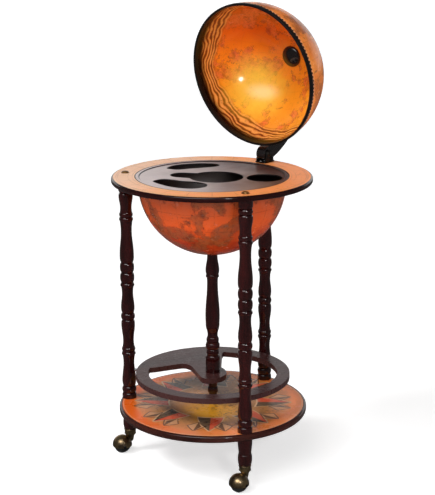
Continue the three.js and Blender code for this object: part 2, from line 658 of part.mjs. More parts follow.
// The hinge over the back right leg, in a group whose X points outwards from the ring's axis
function hinge() {
  const plateFoot = ringTop + seatGap;
  const plateTop = plateFoot + plateThickness;
  const pivotTop = ringTop + pivotHeight;
  const earInside = armThickness / 2 + earGap;
  const halfWidth = earInside + earThickness;
  const plate = new THREE.Shape()
    .absarc(plateOuter - plateCorner, halfWidth - plateCorner, plateCorner, 0, halfTurn / 2)
    .absarc(plateCorner - plateInner, halfWidth - plateCorner, plateCorner, halfTurn / 2, halfTurn)
    .absarc(plateCorner - plateInner, plateCorner - halfWidth, plateCorner, halfTurn, 1.5 * halfTurn)
    .absarc(plateOuter - plateCorner, plateCorner - halfWidth, plateCorner, 1.5 * halfTurn, fullTurn);
  const earShape = new THREE.Shape()
    .absarc(0, pivotHeight - seatGap, earRadius, 0, halfTurn)
    .lineTo(-earFootLength / 2, 0)
    .lineTo(earFootLength / 2, 0);
  const ear = board(earShape, 0, earThickness, 3).rotateX(halfTurn / 2).translate(0, 0, plateFoot);
  const stopInner = plateOuter - stopThickness;
  const openCentreRadius = pivotRadius - Math.sin(halfTurn / 2 + pivotAngle - openAngle) * armRadius;
  const openCentreHeight = pivotHeight + Math.cos(halfTurn / 2 + pivotAngle - openAngle) * armRadius;
  const stopHeight =
    openCentreHeight - Math.sqrt(armOuter ** 2 - (pivotRadius + stopInner - openCentreRadius) ** 2) - fitGap;
  const stopTop = ringTop + stopHeight;
  const stop = new THREE.BoxGeometry(stopThickness, 2 * (halfWidth - plateCorner), stopTop - plateFoot)
    .translate(plateOuter - stopThickness / 2, 0, (plateFoot + stopTop) / 2);
  const screwHole = bar(screwRadius + fitGap, plateFoot - overrun, plateTop + overrun);
  const pinHole = bar(hingePinRadius + fitGap, -2 * halfWidth, 2 * halfWidth)
    .rotateX(halfTurn / 2)
    .translate(0, 0, pivotTop);
  const bracket = cut(
    joined(
      board(plate, plateFoot, plateTop, 2),
      ear.clone().translate(0, halfWidth, 0),
      ear.clone().translate(0, -earInside, 0),
      stop,
    ),
    pinHole,
    screwHole.clone().translate(outerScrewReach, 0, 0),
    screwHole.clone().translate(-innerScrewReach, 0, 0),
  );
  const headSeat = halfWidth + seatGap;
  const pinEnd = headSeat + pinHeadHeight;
  const pin = turned([
    [0, -pinEnd], [pinHeadRadius, -pinEnd], [pinHeadRadius, -headSeat], [hingePinRadius, -headSeat],
    [hingePinRadius, headSeat], [pinHeadRadius, headSeat], [pinHeadRadius, pinEnd], [0, pinEnd],
  ]);
  const screwSeat = plateTop + seatGap;
  const screw = turned([
    [0, ringTop - screwDepth], [screwRadius, ringTop - screwDepth], [screwRadius, screwSeat],
    [screwHeadRadius, screwSeat], [screwHeadRadius / 2, screwSeat + screwHeadHeight],
    [0, screwSeat + screwHeadHeight],
  ]);
  const holder = group(
    piece("hinge_bracket", bracket, finishes.blackLacquer),
    piece("hinge_pin", pin.rotateX(halfTurn / 2).translate(0, 0, pivotTop), finishes.steel),
    piece("bracket_screw_inner", screw.clone().translate(-innerScrewReach, 0, 0), finishes.steel),
    piece("bracket_screw_outer", screw.translate(outerScrewReach, 0, 0), finishes.steel),
    lid(),
  );
  holder.position.set(pivotRadius, 0, 0);
  const turn = group(holder);
  turn.rotation.z = legAngle(hingeLeg);
  return turn;
}

const pivotAngle = Math.atan2(pivotLift, pivotRadius); // elevation of the pivot from the lid's centre

// The meridian arm round the lid's centre, from its lug on the pivot to the pole
function meridianArm() {
  const end = armWidth / 2 - armEdge;
  const outline = new THREE.Shape()
    .absarc(0, 0, armOuter - armEdge, pivotAngle, halfTurn / 2)
    .absarc(0, armRadius, end, halfTurn / 2, 1.5 * halfTurn)
    .absarc(0, 0, armInner + armEdge, halfTurn / 2, pivotAngle, true)
    .absarc(pivotRadius, pivotLift, end, pivotAngle + halfTurn, pivotAngle + fullTurn);
  const blank = new THREE.ExtrudeGeometry(outline, {
    depth: armThickness - 2 * armEdge,
    bevelThickness: armEdge,
    bevelSize: armEdge,
    bevelSegments: 1,
    curveSegments: armSteps,
  })
    .translate(0, 0, armEdge - armThickness / 2)
    .rotateX(halfTurn / 2);
  const pinBore = bar(hingePinRadius + fitGap, -armThickness, armThickness)
    .rotateX(halfTurn / 2)
    .translate(pivotRadius, 0, pivotLift);
  const boltBore = bar(poleBoltRadius + fitGap, armInner - overrun, armOuter + overrun);
  return piece("meridian_arm", cut(blank, pinBore, boltBore), finishes.blackLacquer);
}

// Everything that turns on the hinge, about the lid's centre, closed and then turned open
function lid() {
  const shellFoot = bandHeight + seatGap;
  const bore = poleBoltRadius + fitGap;
  const shell = [
    ...arcPoints(globeRadius, 0, Math.asin(shellFoot / globeRadius), Math.acos(bore / globeRadius)),
    ...arcPoints(lidInner, 0, Math.acos(bore / lidInner), Math.asin(shellFoot / lidInner)),
  ];
  const bandInner = lidInner - bandProud;
  const bandOuter = globeRadius + bandProud;
  const bandEdge = bandProud;
  const band = [
    [bandInner + bandEdge, 0], [bandOuter - bandEdge, 0], [bandOuter, bandEdge], [bandOuter, bandHeight],
    [bandInner, bandHeight], [bandInner, bandEdge],
  ];
  const spacerTop = Math.sqrt(armInner ** 2 - spacerRadius ** 2) - facetSag(armInner) - fitGap;
  const spacerFoot = globeRadius + fitGap;
  const spacer = [
    [bore, spacerFoot], [spacerRadius, spacerFoot], [spacerRadius, spacerTop], [bore, spacerTop],
  ];
  const capSeat = Math.sqrt(lidInner ** 2 - innerCapRadius ** 2) - facetSag(lidInner) - fitGap;
  const capBore = boreFor(poleBoltRadius, poleBoltEngagement);
  const domeFoot = capSeat - innerCapRim;
  const domeHeight = innerCapHeight - innerCapRim;
  const cap = [
    [0, capSeat - capBore.depth], [capBore.radius, capSeat - capBore.depth], [capBore.radius, capSeat],
    [innerCapRadius, capSeat],
    ...innerCapShares.map((share) => [
      share * innerCapRadius,
      domeFoot - domeHeight * Math.sqrt(1 - share ** 2),
    ]),
  ];
  const finialFoot = armOuter + fitGap;
  const finial = [
    [0, finialFoot + capBore.depth], [capBore.radius, finialFoot + capBore.depth],
    [capBore.radius, finialFoot],
    ...finialShares.map(([height, radius]) => [radius * finialRadius, finialFoot + height * finialHeight]),
    [0, finialFoot + finialHeight],
  ];
  const poleBolt = bar(poleBoltRadius, capSeat - poleBoltEngagement, finialFoot + poleBoltEngagement);
  const parts = group(
    piece("lid_shell", turned(shell, roundSides), finishes.lidShell),
    piece("lid_rim_band", turned(band, roundSides), finishes.blackLacquer),
    piece("pole_spacer", turned(spacer), finishes.blackLacquer),
    piece("pole_bolt", poleBolt, finishes.steel),
    piece("inner_cap", turned(cap), finishes.blackLacquer),
    piece("finial", turned(finial), finishes.brass),
    meridianArm(),
  );
  parts.position.set(-pivotRadius, 0, -pivotLift);
  const opened = group(parts);
  opened.position.set(0, 0, ringTop + pivotHeight);
  opened.rotation.y = openAngle;
  return opened;
}

const globeBar = group(
  bottomShelf(),
  middleTier(),
  ...legNames.map(leg),
  ...centrePost(),
  horizonRing(),
  bowl(),
  bowlFloor(),
  tray(),
  hinge(),
);

export default globeBar;
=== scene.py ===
"""Looks of a floor-standing globe bar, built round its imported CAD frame, in metres, +Z up."""

import json
import logging
import math
from dataclasses import dataclass
from enum import Enum
from typing import Callable, ClassVar, Sequence

import bmesh
import bpy
import numpy as np
from mathutils import Matrix, Vector


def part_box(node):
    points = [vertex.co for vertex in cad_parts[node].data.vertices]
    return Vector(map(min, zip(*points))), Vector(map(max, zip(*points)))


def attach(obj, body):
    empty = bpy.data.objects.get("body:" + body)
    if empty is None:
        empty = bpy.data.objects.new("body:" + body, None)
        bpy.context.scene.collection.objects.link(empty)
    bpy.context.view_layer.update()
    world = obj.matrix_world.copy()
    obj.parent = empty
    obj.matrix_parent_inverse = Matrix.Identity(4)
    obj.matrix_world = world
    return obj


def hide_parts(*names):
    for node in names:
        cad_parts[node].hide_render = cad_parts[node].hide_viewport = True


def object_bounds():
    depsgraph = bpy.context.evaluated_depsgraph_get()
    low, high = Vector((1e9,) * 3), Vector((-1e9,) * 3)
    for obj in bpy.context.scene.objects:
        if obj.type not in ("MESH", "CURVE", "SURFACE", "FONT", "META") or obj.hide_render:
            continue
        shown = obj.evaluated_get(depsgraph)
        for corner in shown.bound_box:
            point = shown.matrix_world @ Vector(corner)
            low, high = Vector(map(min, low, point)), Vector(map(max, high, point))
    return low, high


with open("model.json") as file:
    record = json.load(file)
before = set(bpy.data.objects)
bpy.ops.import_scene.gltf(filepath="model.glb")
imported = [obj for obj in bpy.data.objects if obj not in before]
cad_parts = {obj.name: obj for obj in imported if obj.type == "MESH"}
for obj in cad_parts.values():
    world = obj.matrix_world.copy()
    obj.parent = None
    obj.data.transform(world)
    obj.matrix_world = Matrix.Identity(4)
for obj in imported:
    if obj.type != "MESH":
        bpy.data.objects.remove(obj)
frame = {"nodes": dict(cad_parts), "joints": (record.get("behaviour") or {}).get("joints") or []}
CAD_BOX = [list(corner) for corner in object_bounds()]

log = logging.getLogger("globe_bar")
Point = tuple[float, float]
Triple = tuple[float, float, float]
Colour = tuple[float, float, float]

LEGS = ("left", "front_right", "back_right")
TURNED_SIDES = 48
ROUND_SIDES = 120
EDGE_GUARD = 0.0012
QUARTER = math.pi / 2
WHOLE = 2 * math.pi


class Turn(Enum):
    """How a turned surface runs from one mark of its outline to the next."""

    STRAIGHT = "straight"
    BEAD = "bead"
    COVE = "cove"
    OGEE = "ogee"

    @property
    def steps(self) -> int:
        """Facets along such a stretch."""
        return 1 if self is Turn.STRAIGHT else 6

    def at(self, share: float) -> Point:
        """A point of the curve that rises from a narrow end at (0, 0) to a wide end at (1, 1).

        Args:
            share: How far along the curve, from 0 to 1.

        Returns:
            The shares of the length and of the rise in radius.
        """
        if self is Turn.BEAD:
            return 1 - math.cos(share * QUARTER), math.sin(share * QUARTER)
        if self is Turn.COVE:
            return math.sin(share * QUARTER), 1 - math.cos(share * QUARTER)
        if self is Turn.OGEE:
            return share, (1 - math.cos(share * math.pi)) / 2
        return share, share


STRAIGHT, BEAD, COVE, OGEE = Turn.STRAIGHT, Turn.BEAD, Turn.COVE, Turn.OGEE

# Turned outlines: the height and the radius of each mark as shares of the piece, and the curve
# that goes on from it
LOWER_LEG = (
    (0, 1, STRAIGHT), (0.016, 1, BEAD), (0.026, 0.8, BEAD), (0.041, 1, BEAD), (0.056, 0.78, BEAD),
    (0.083, 0.97, OGEE), (0.162, 0.76, COVE), (0.205, 0.98, BEAD), (0.218, 0.77, BEAD),
    (0.232, 0.96, COVE), (0.27, 0.75, OGEE), (0.343, 0.95, BEAD), (0.366, 0.76, BEAD),
    (0.38, 0.97, BEAD), (0.396, 0.76, STRAIGHT),
)
UPPER_LEG = (
    (0.396, 0.76, BEAD), (0.421, 0.94, OGEE), (0.485, 0.77, COVE), (0.521, 0.97, BEAD),
    (0.535, 0.76, BEAD), (0.558, 0.98, BEAD), (0.581, 0.75, BEAD), (0.604, 0.98, BEAD),
    (0.626, 0.76, BEAD), (0.65, 0.98, STRAIGHT), (0.66, 0.98, OGEE), (0.762, 0.75, COVE),
    (0.817, 0.96, BEAD), (0.83, 0.78, BEAD), (0.844, 0.94, COVE), (0.87, 0.78, OGEE),
    (0.923, 0.97, BEAD), (0.938, 0.76, BEAD), (0.95, 0.97, BEAD), (0.962, 0.76, BEAD),
    (0.972, 0.97, STRAIGHT), (1, 0.97, STRAIGHT),
)
FOOT = (
    (0, 1, STRAIGHT), (0.13, 0.98, OGEE), (0.58, 0.85, BEAD), (0.75, 0.96, BEAD), (1, 0.76, STRAIGHT),
)
UPPER_POST = (
    (0, 1, STRAIGHT), (0.12, 1, BEAD), (0.145, 0.78, BEAD), (0.17, 0.87, BEAD), (0.195, 0.76, BEAD),
    (0.226, 0.99, BEAD), (0.25, 0.8, BEAD), (0.272, 0.87, BEAD), (0.298, 0.73, STRAIGHT),
    (0.32, 0.71, OGEE), (0.4, 0.97, OGEE), (0.48, 1, OGEE), (0.74, 0.75, STRAIGHT),
    (0.772, 0.75, COVE), (0.805, 0.92, BEAD), (0.825, 0.82, BEAD), (0.86, 0.95, OGEE),
    (0.97, 0.72, STRAIGHT), (1, 0.69, STRAIGHT),
)
LOWER_POST = (
    (0, 0.62, OGEE), (0.36, 0.56, BEAD), (0.49, 0.75, BEAD), (0.62, 0.6, OGEE), (1, 0.66, STRAIGHT),
)
FINIAL = (
    (0, 1, STRAIGHT), (0.14, 1, BEAD), (0.3, 0.42, STRAIGHT), (0.4, 0.38, BEAD), (0.7, 0.7, BEAD),
    (1, 0, STRAIGHT),
)

# Outlines in plan, as shares of the radius of the board that they lie in
TIER_LOBE = (
    (0.126, 0.676), (0.115, 0.344), (0.112, 0.172), (0.155, 0.08), (0.18, -0.046),
    (0.149, -0.16), (0.069, -0.24), (-0.034, -0.281), (-0.115, -0.264), (-0.166, -0.172),
    (-0.206, -0.029), (-0.246, 0.103), (-0.298, 0.229), (-0.378, 0.298), (-0.487, 0.269),
    (-0.745, 0.16),
)
FRONT_BEAN = (
    (-0.758, -0.315), (-0.723, -0.233), (-0.636, -0.169), (-0.507, -0.21), (-0.385, -0.292),
    (-0.268, -0.327), (-0.152, -0.385), (-0.07, -0.49), (-0.064, -0.595), (-0.111, -0.682),
    (-0.233, -0.746), (-0.379, -0.723), (-0.531, -0.63), (-0.671, -0.466),
)
BACK_BEAN = (
    (-0.606, 0.536), (-0.513, 0.711), (-0.35, 0.805), (-0.146, 0.851), (0.03, 0.816),
    (0.105, 0.711), (0.03, 0.612), (-0.117, 0.554), (-0.292, 0.49), (-0.443, 0.431),
    (-0.554, 0.466),
)


def middle(node: str) -> Vector:
    """The middle of a CAD node's box."""
    low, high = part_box(node)
    return (low + high) / 2


def foot_of(node: str) -> float:
    """The lowest height of a CAD node."""
    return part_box(node)[0].z


def top_of(node: str) -> float:
    """The highest height of a CAD node."""
    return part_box(node)[1].z


def upright_at(node: str) -> Matrix:
    """The move from the world's Z axis to the upright line through a CAD node's middle."""
    return Matrix.Translation(middle(node) * Vector((1, 1, 0)))


def places(node: str) -> np.ndarray:
    """The vertices of a CAD node, one row each."""
    mesh = frame["nodes"][node].data
    flat = np.empty(3 * len(mesh.vertices))
    mesh.vertices.foreach_get("co", flat)
    return flat.reshape(-1, 3)


def turned_outline(marks: Sequence[tuple[float, float, Turn]], radius: float,
                   low: float, high: float) -> list[Point]:
    """The outline of a turned stretch.

    Args:
        marks: Height and radius shares, with the curve that follows each.
        radius: The radius that a share of 1 stands for.
        low: The height of share 0.
        high: The height of share 1.

    Returns:
        Points of (radius, height).
    """
    points: list[Point] = []
    for (height, share, turn), (next_height, next_share, _) in zip(marks, marks[1:]):
        for step in range(turn.steps):
            part = step / turn.steps
            along, out = turn.at(part) if next_share >= share else (1 - n for n in turn.at(1 - part))
            points.append((share + (next_share - share) * out, height + (next_height - height) * along))
    points.append((marks[-1][1], marks[-1][0]))
    return [(share * radius, low + height * (high - low)) for share, height in points]


def arc(centre: Point, radius: float, start: float, end: float, steps: int) -> list[Point]:
    """Points on an arc, from one angle to another, both included."""
    angles = [start + (end - start) * step / steps for step in range(steps + 1)]
    return [(centre[0] + radius * math.cos(a), centre[1] + radius * math.sin(a)) for a in angles]


def circle(centre: Point, radius: float, steps: int) -> list[Point]:
    """Points round a whole circle."""
    return arc(centre, radius, 0, WHOLE, steps)[:-1]


def dome(radius: float, foot: float, height: float, start: float, steps: int = 6) -> list[Point]:
    """The outline of a domed head, from an angle above its edge to the axis."""
    return [(radius * x, foot + height * y) for x, y in arc((0, 0), 1, start, QUARTER, steps)]


def mirrored(side: list[Point]) -> list[Point]:
    """An outline from the lower end to the upper one, of which the upper half is given."""
    return [(radius, -height) for radius, height in reversed(side) if height] + side


def flowing(marks: Sequence[Point], radius: float, closed: bool, steps: int = 6) -> list[Point]:
    """A smooth curve through some points.

    Args:
        marks: The points, as shares of a radius.
        radius: That radius.
        closed: Whether the curve goes on from the last point to the first.
        steps: Stretches between two points.

    Returns:
        The points of the curve.
    """
    count = len(marks)
    spots = [Vector(mark) * radius for mark in marks]
    curve: list[Point] = []
    for i in range(count if closed else count - 1):
        turns = (i + k for k in (-1, 0, 1, 2))
        a, b, c, d = (spots[n % count if closed else min(max(n, 0), count - 1)] for n in turns)
        for step in range(steps):
            t = step / steps
            spot = b + (c - a) * (t / 2) + (a * 2 - b * 5 + c * 4 - d) * (t * t / 2)
            spot += (b * 3 - a - c * 3 + d) * (t ** 3 / 2)
            curve.append((spot.x, spot.y))
    return curve if closed else curve + [(spots[-1].x, spots[-1].y)]


def board_edge(radius: float, low: float, high: float, soft: float) -> list[Point]:
    """The rounded edge of a board, from its underside up to its top."""
    guard = radius - soft - EDGE_GUARD
    return [(guard, low), *arc((radius - soft, low + soft), soft, -QUARTER, 0, 5),
            *arc((radius - soft, high - soft), soft, 0, QUARTER, 5), (guard, high)]


def operator(kind: str, swapped: bool = False) -> Callable[["Value", "Value | float"], "Value"]:
    """Makes a method of Value that adds a math node.

    Args:
        kind: The node's operation.
        swapped: Whether the other value comes first.

    Returns:
        The method.
    """
    def method(self: "Value", other: "Value | float") -> "Value":
        """The node's result."""
        return self.graph.math(kind, *((other, self) if swapped else (self, other)))
    return method


class Value:
    """A node's output. Sums on it add nodes, comparisons give 1 or 0, and | takes the larger."""

    def __init__(self, graph: "Graph", socket: bpy.types.NodeSocket) -> None:
        """Keeps the output and its graph."""
        self.graph, self.socket = graph, socket

    __add__, __mul__ = operator("ADD"), operator("MULTIPLY")
    __sub__, __rsub__ = operator("SUBTRACT"), operator("SUBTRACT", True)
    __truediv__, __rtruediv__ = operator("DIVIDE"), operator("DIVIDE", True)
    __lt__, __gt__ = operator("LESS_THAN"), operator("GREATER_THAN")
    __or__ = operator("MAXIMUM")
    folded = operator("PINGPONG")

    def near(self, level: "Value | float", half: float) -> "Value":
        """1 where the value is close to another, else 0."""
        return self.graph.math("ABSOLUTE", self - level) < half

    def line(self, step: float, half: "Value | float") -> "Value":
        """1 near each whole step of the value, else 0."""
        return self.folded(step / 2) < half

    def band(self, low: float, high: float) -> "Value":
        """1 where the value lies between two others, else 0."""
        return (self > low) * (self < high)

    def between(self, low: float, high: float, start: float = 0, end: float = 1,
                kind: str = "SMOOTHSTEP") -> "Value":
        """The value spread from one range over another.

        Args:
            low: Where the range begins.
            high: Where it ends.
            start: The result at its beginning.
            end: The result at its end.
            kind: How the result runs from one to the other.

        Returns:
            The result, which stays within start and end.
        """
        node = self.graph.node("MapRange", interpolation_type=kind)
        for target, value in zip(node.inputs, (self, low, high, start, end)):
            self.graph.put(target, value)
        return Value(self.graph, node.outputs[0])

    def ramp(self, *stops: tuple[float, Colour]) -> "Value":
        """Colours by value.

        Args:
            stops: Values from 0 to 1, each with its colour.

        Returns:
            The colour.
        """
        node = self.graph.node("ValToRGB")
        marks = node.color_ramp.elements
        while len(marks) < len(stops):
            marks.new(0.5)
        for mark, (mark.position, colour) in zip(marks, stops):
            mark.color = (*colour, 1)
        self.graph.put(node.inputs[0], self)
        return Value(self.graph, node.outputs[0])

    def parts(self) -> list["Value"]:
        """The x, y and z of a vector."""
        node = self.graph.node("SeparateXYZ")
        self.graph.put(node.inputs[0], self)
        return [Value(self.graph, output) for output in node.outputs]

    def stretched(self, scale: Sequence[float]) -> "Value":
        """A vector times another, part by part."""
        return self.graph.vector("MULTIPLY", self, tuple(scale))

    def noise(self, scale: float, detail: float = 3, roughness: float = 0.5,
              distortion: float = 0) -> "Value":
        """A cloudy value from 0 to 1 at the places of a vector.

        Args:
            scale: How many clouds there are to a unit.
            detail: How many finer layers lie in them.
            roughness: How strong those layers are.
            distortion: How far the clouds are pulled about.

        Returns:
            The value.
        """
        node = self.graph.node("TexNoise")
        values = {"Vector": self, "Scale": scale, "Detail": detail, "Roughness": roughness,
                  "Distortion": distortion}
        for name, value in values.items():
            self.graph.put(node.inputs[name], value)
        return Value(self.graph, node.outputs[0])


class Graph:
    """The nodes of one material round one shader."""

    def __init__(self, name: str) -> None:
        """Starts a material with nothing but its shader."""
        self.material = bpy.data.materials.new(name)
        self.material.use_nodes = True
        self.tree = self.material.node_tree
        self.tree.nodes.clear()
        self.shader = self.node("BsdfPrincipled")
        self.tree.links.new(self.shader.outputs[0], self.node("OutputMaterial").inputs[0])

    def put(self, target: bpy.types.NodeSocket, value: object) -> None:
        """Links a value to a socket, or sets a plain number or colour on it."""
        if isinstance(value, Value):
            self.tree.links.new(value.socket, target)
        elif isinstance(value, tuple) and len(target.default_value) == 4:
            target.default_value = (*value, 1)
        else:
            target.default_value = value

    def surface(self, **values: object) -> None:
        """Sets the shader's sockets, by names with underscores for spaces."""
        for name, value in values.items():
            self.put(self.shader.inputs[name.replace("_", " ")], value)

    def sheen(self, colour: Value, cloud: Value, gloss: Point, specular: float, coat: Value | float,
              blur: float) -> None:
        """Sets a lacquered or papered surface.

        Args:
            colour: Its colour.
            cloud: The value that its roughness follows.
            gloss: The roughness where that value is low, and where it is high.
            specular: The reflection of the ground.
            coat: The weight of the clear coat.
            blur: The roughness of the coat.
        """
        self.surface(Base_Color=colour, Roughness=cloud.between(0.3, 0.7, *gloss),
                     Specular_IOR_Level=specular, Coat_Weight=coat, Coat_Roughness=blur)

    def node(self, kind: str, **settings: object) -> bpy.types.Node:
        """Adds a node and sets its options."""
        node = self.tree.nodes.new("ShaderNode" + kind)
        for name, value in settings.items():
            setattr(node, name, value)
        return node

    def result(self, node: bpy.types.Node, output: int | str, values: Sequence[object]) -> Value:
        """One output of a node whose first inputs are filled in turn."""
        for target, value in zip(node.inputs, values):
            self.put(target, value)
        return Value(self, node.outputs[output])

    def math(self, operation: str, *values: Value | float) -> Value:
        """The result of a sum on one to three values."""
        return self.result(self.node("Math", operation=operation), 0, values)

    def vector(self, operation: str, *values: object) -> Value:
        """The result of a sum on vectors."""
        output = "Value" if operation in ("LENGTH", "DOT_PRODUCT") else "Vector"
        return self.result(self.node("VectorMath", operation=operation), output, values)

    def place(self, centre: Sequence[float] = (0, 0, 0), turn: Matrix = Matrix.Identity(3)) -> Value:
        """Object coordinates about a centre, turned into a frame of their own."""
        mapping = self.node("Mapping", vector_type="POINT")
        back = turn.transposed()
        mapping.inputs["Location"].default_value = -(back @ Vector(centre))
        mapping.inputs["Rotation"].default_value = back.to_euler("XYZ")
        self.tree.links.new(self.node("TexCoord").outputs["Object"], mapping.inputs["Vector"])
        return Value(self, mapping.outputs[0])

    def polar(self, heading: float = 0) -> tuple[Value, Value]:
        """The distance from the Z axis, and the azimuth from a heading, kept above 0."""
        place = self.place()
        x, y, _ = place.parts()
        return (self.vector("LENGTH", place.stretched((1, 1, 0))),
                self.math("ARCTAN2", y, x) + (heading + WHOLE))

    def mix(self, share: Value | float, first: object, second: object) -> Value:
        """One colour painted over another by a share."""
        node = self.node("Mix", data_type="RGBA")
        for index, value in ((0, share), (6, first), (7, second)):
            self.put(node.inputs[index], value)
        return Value(self, node.outputs[2])

    def bump(self, height: Value, distance: float, strength: float) -> None:
        """Gives the shader a relief."""
        node = self.node("Bump")
        for name, value in (("Strength", strength), ("Distance", distance), ("Height", height)):
            self.put(node.inputs[name], value)
        self.put(self.shader.inputs["Normal"], Value(self, node.outputs[0]))


@dataclass(frozen=True)
class Finish:
    """What a piece is made of."""

    name: str
    made: ClassVar[dict[str, bpy.types.Material]] = {}

    def material(self) -> bpy.types.Material:
        """The finish's material, which is made on its first use."""
        if self.name not in self.made:
            graph = Graph(self.name)
            self.paint(graph)
            self.made[self.name] = graph.material
        return self.made[self.name]

    def paint(self, g: Graph) -> None:
        """Adds the finish's nodes to an empty material."""
        raise NotImplementedError


@dataclass(frozen=True)
class Lacquer(Finish):
    """Glossy stained wood: dark grain under a clear coat."""

    dark: Colour
    light: Colour
    grain: Triple
    gloss: float
    specular: float
    coat: float
    relief: float = 0.15

    def paint(self, g: Graph) -> None:
        """Lays long streaks and fine pores."""
        place = g.place()
        streaks = place.stretched(self.grain).noise(1, 5, 0.6, 0.4)
        pores = place.stretched([6 * n for n in self.grain]).noise(1, 2)
        colour = (streaks * 0.8 + pores * 0.2).ramp((0.35, self.dark), (0.68, self.light))
        g.sheen(colour, pores, (self.gloss, self.gloss + 0.08), self.specular, self.coat, 0.07)
        g.bump(pores, 0.0002, self.relief)


@dataclass(frozen=True)
class Metal(Finish):
    """A metal that is worn bright in some places and dull in others."""

    bright: Colour
    dull: Colour
    gloss: float
    scale: float = 90

    def paint(self, g: Graph) -> None:
        """Lays the wear and a fine grain."""
        wear = g.place().noise(self.scale, 5, 0.6)
        g.surface(Base_Color=wear.ramp((0.38, self.dull), (0.62, self.bright)),
                  Roughness=wear.between(0.3, 0.7, self.gloss + 0.12, self.gloss), Metallic=1.0)
        g.bump(g.place().noise(12 * self.scale, 2), 0.0001, 0.2)


@dataclass(frozen=True)
class Plastic(Finish):
    """A dark moulded plastic or paint with a fine orange peel."""

    colour: Colour
    gloss: float
    coat: float = 0.0
    specular: float = 0.5

    def paint(self, g: Graph) -> None:
        """Lays a soft cloud and the peel."""
        cloud = g.place().noise(60)
        lighter = tuple(1.5 * part + 0.002 for part in self.colour)
        g.sheen(cloud.ramp((0.3, self.colour), (0.75, lighter)), cloud,
                (self.gloss, self.gloss + 0.06), self.specular, self.coat, 0.05)
        g.bump(g.place().noise(700, 2), 0.0001, 0.12)


@dataclass(frozen=True)
class Satin(Finish):
    """A satin board with a painted reflection: its grey runs from pale on the left to dark on the right."""

    pale: Colour
    dark: Colour
    gloss: float

    def paint(self, g: Graph) -> None:
        """Lays the painted reflection, a sweep of grey, and fine streaks."""
        place = g.place()
        x, y, _ = place.parts()
        cloud = place.noise(9, 5, 0.6)
        # painted reflection: the board is pale on the left and dark on the right
        colour = (x + y * 0.15 + cloud * 0.12).between(-0.13, 0.22).ramp((0, self.pale), (1, self.dark))
        streaks = place.stretched((90, 900, 90)).noise(1).between(0.4, 0.8, 0, 0.18)
        g.sheen(g.mix(streaks, colour, (0.03, 0.022, 0.022)), cloud,
                (self.gloss, self.gloss + 0.08), 0.3, 0.05, 0.15)


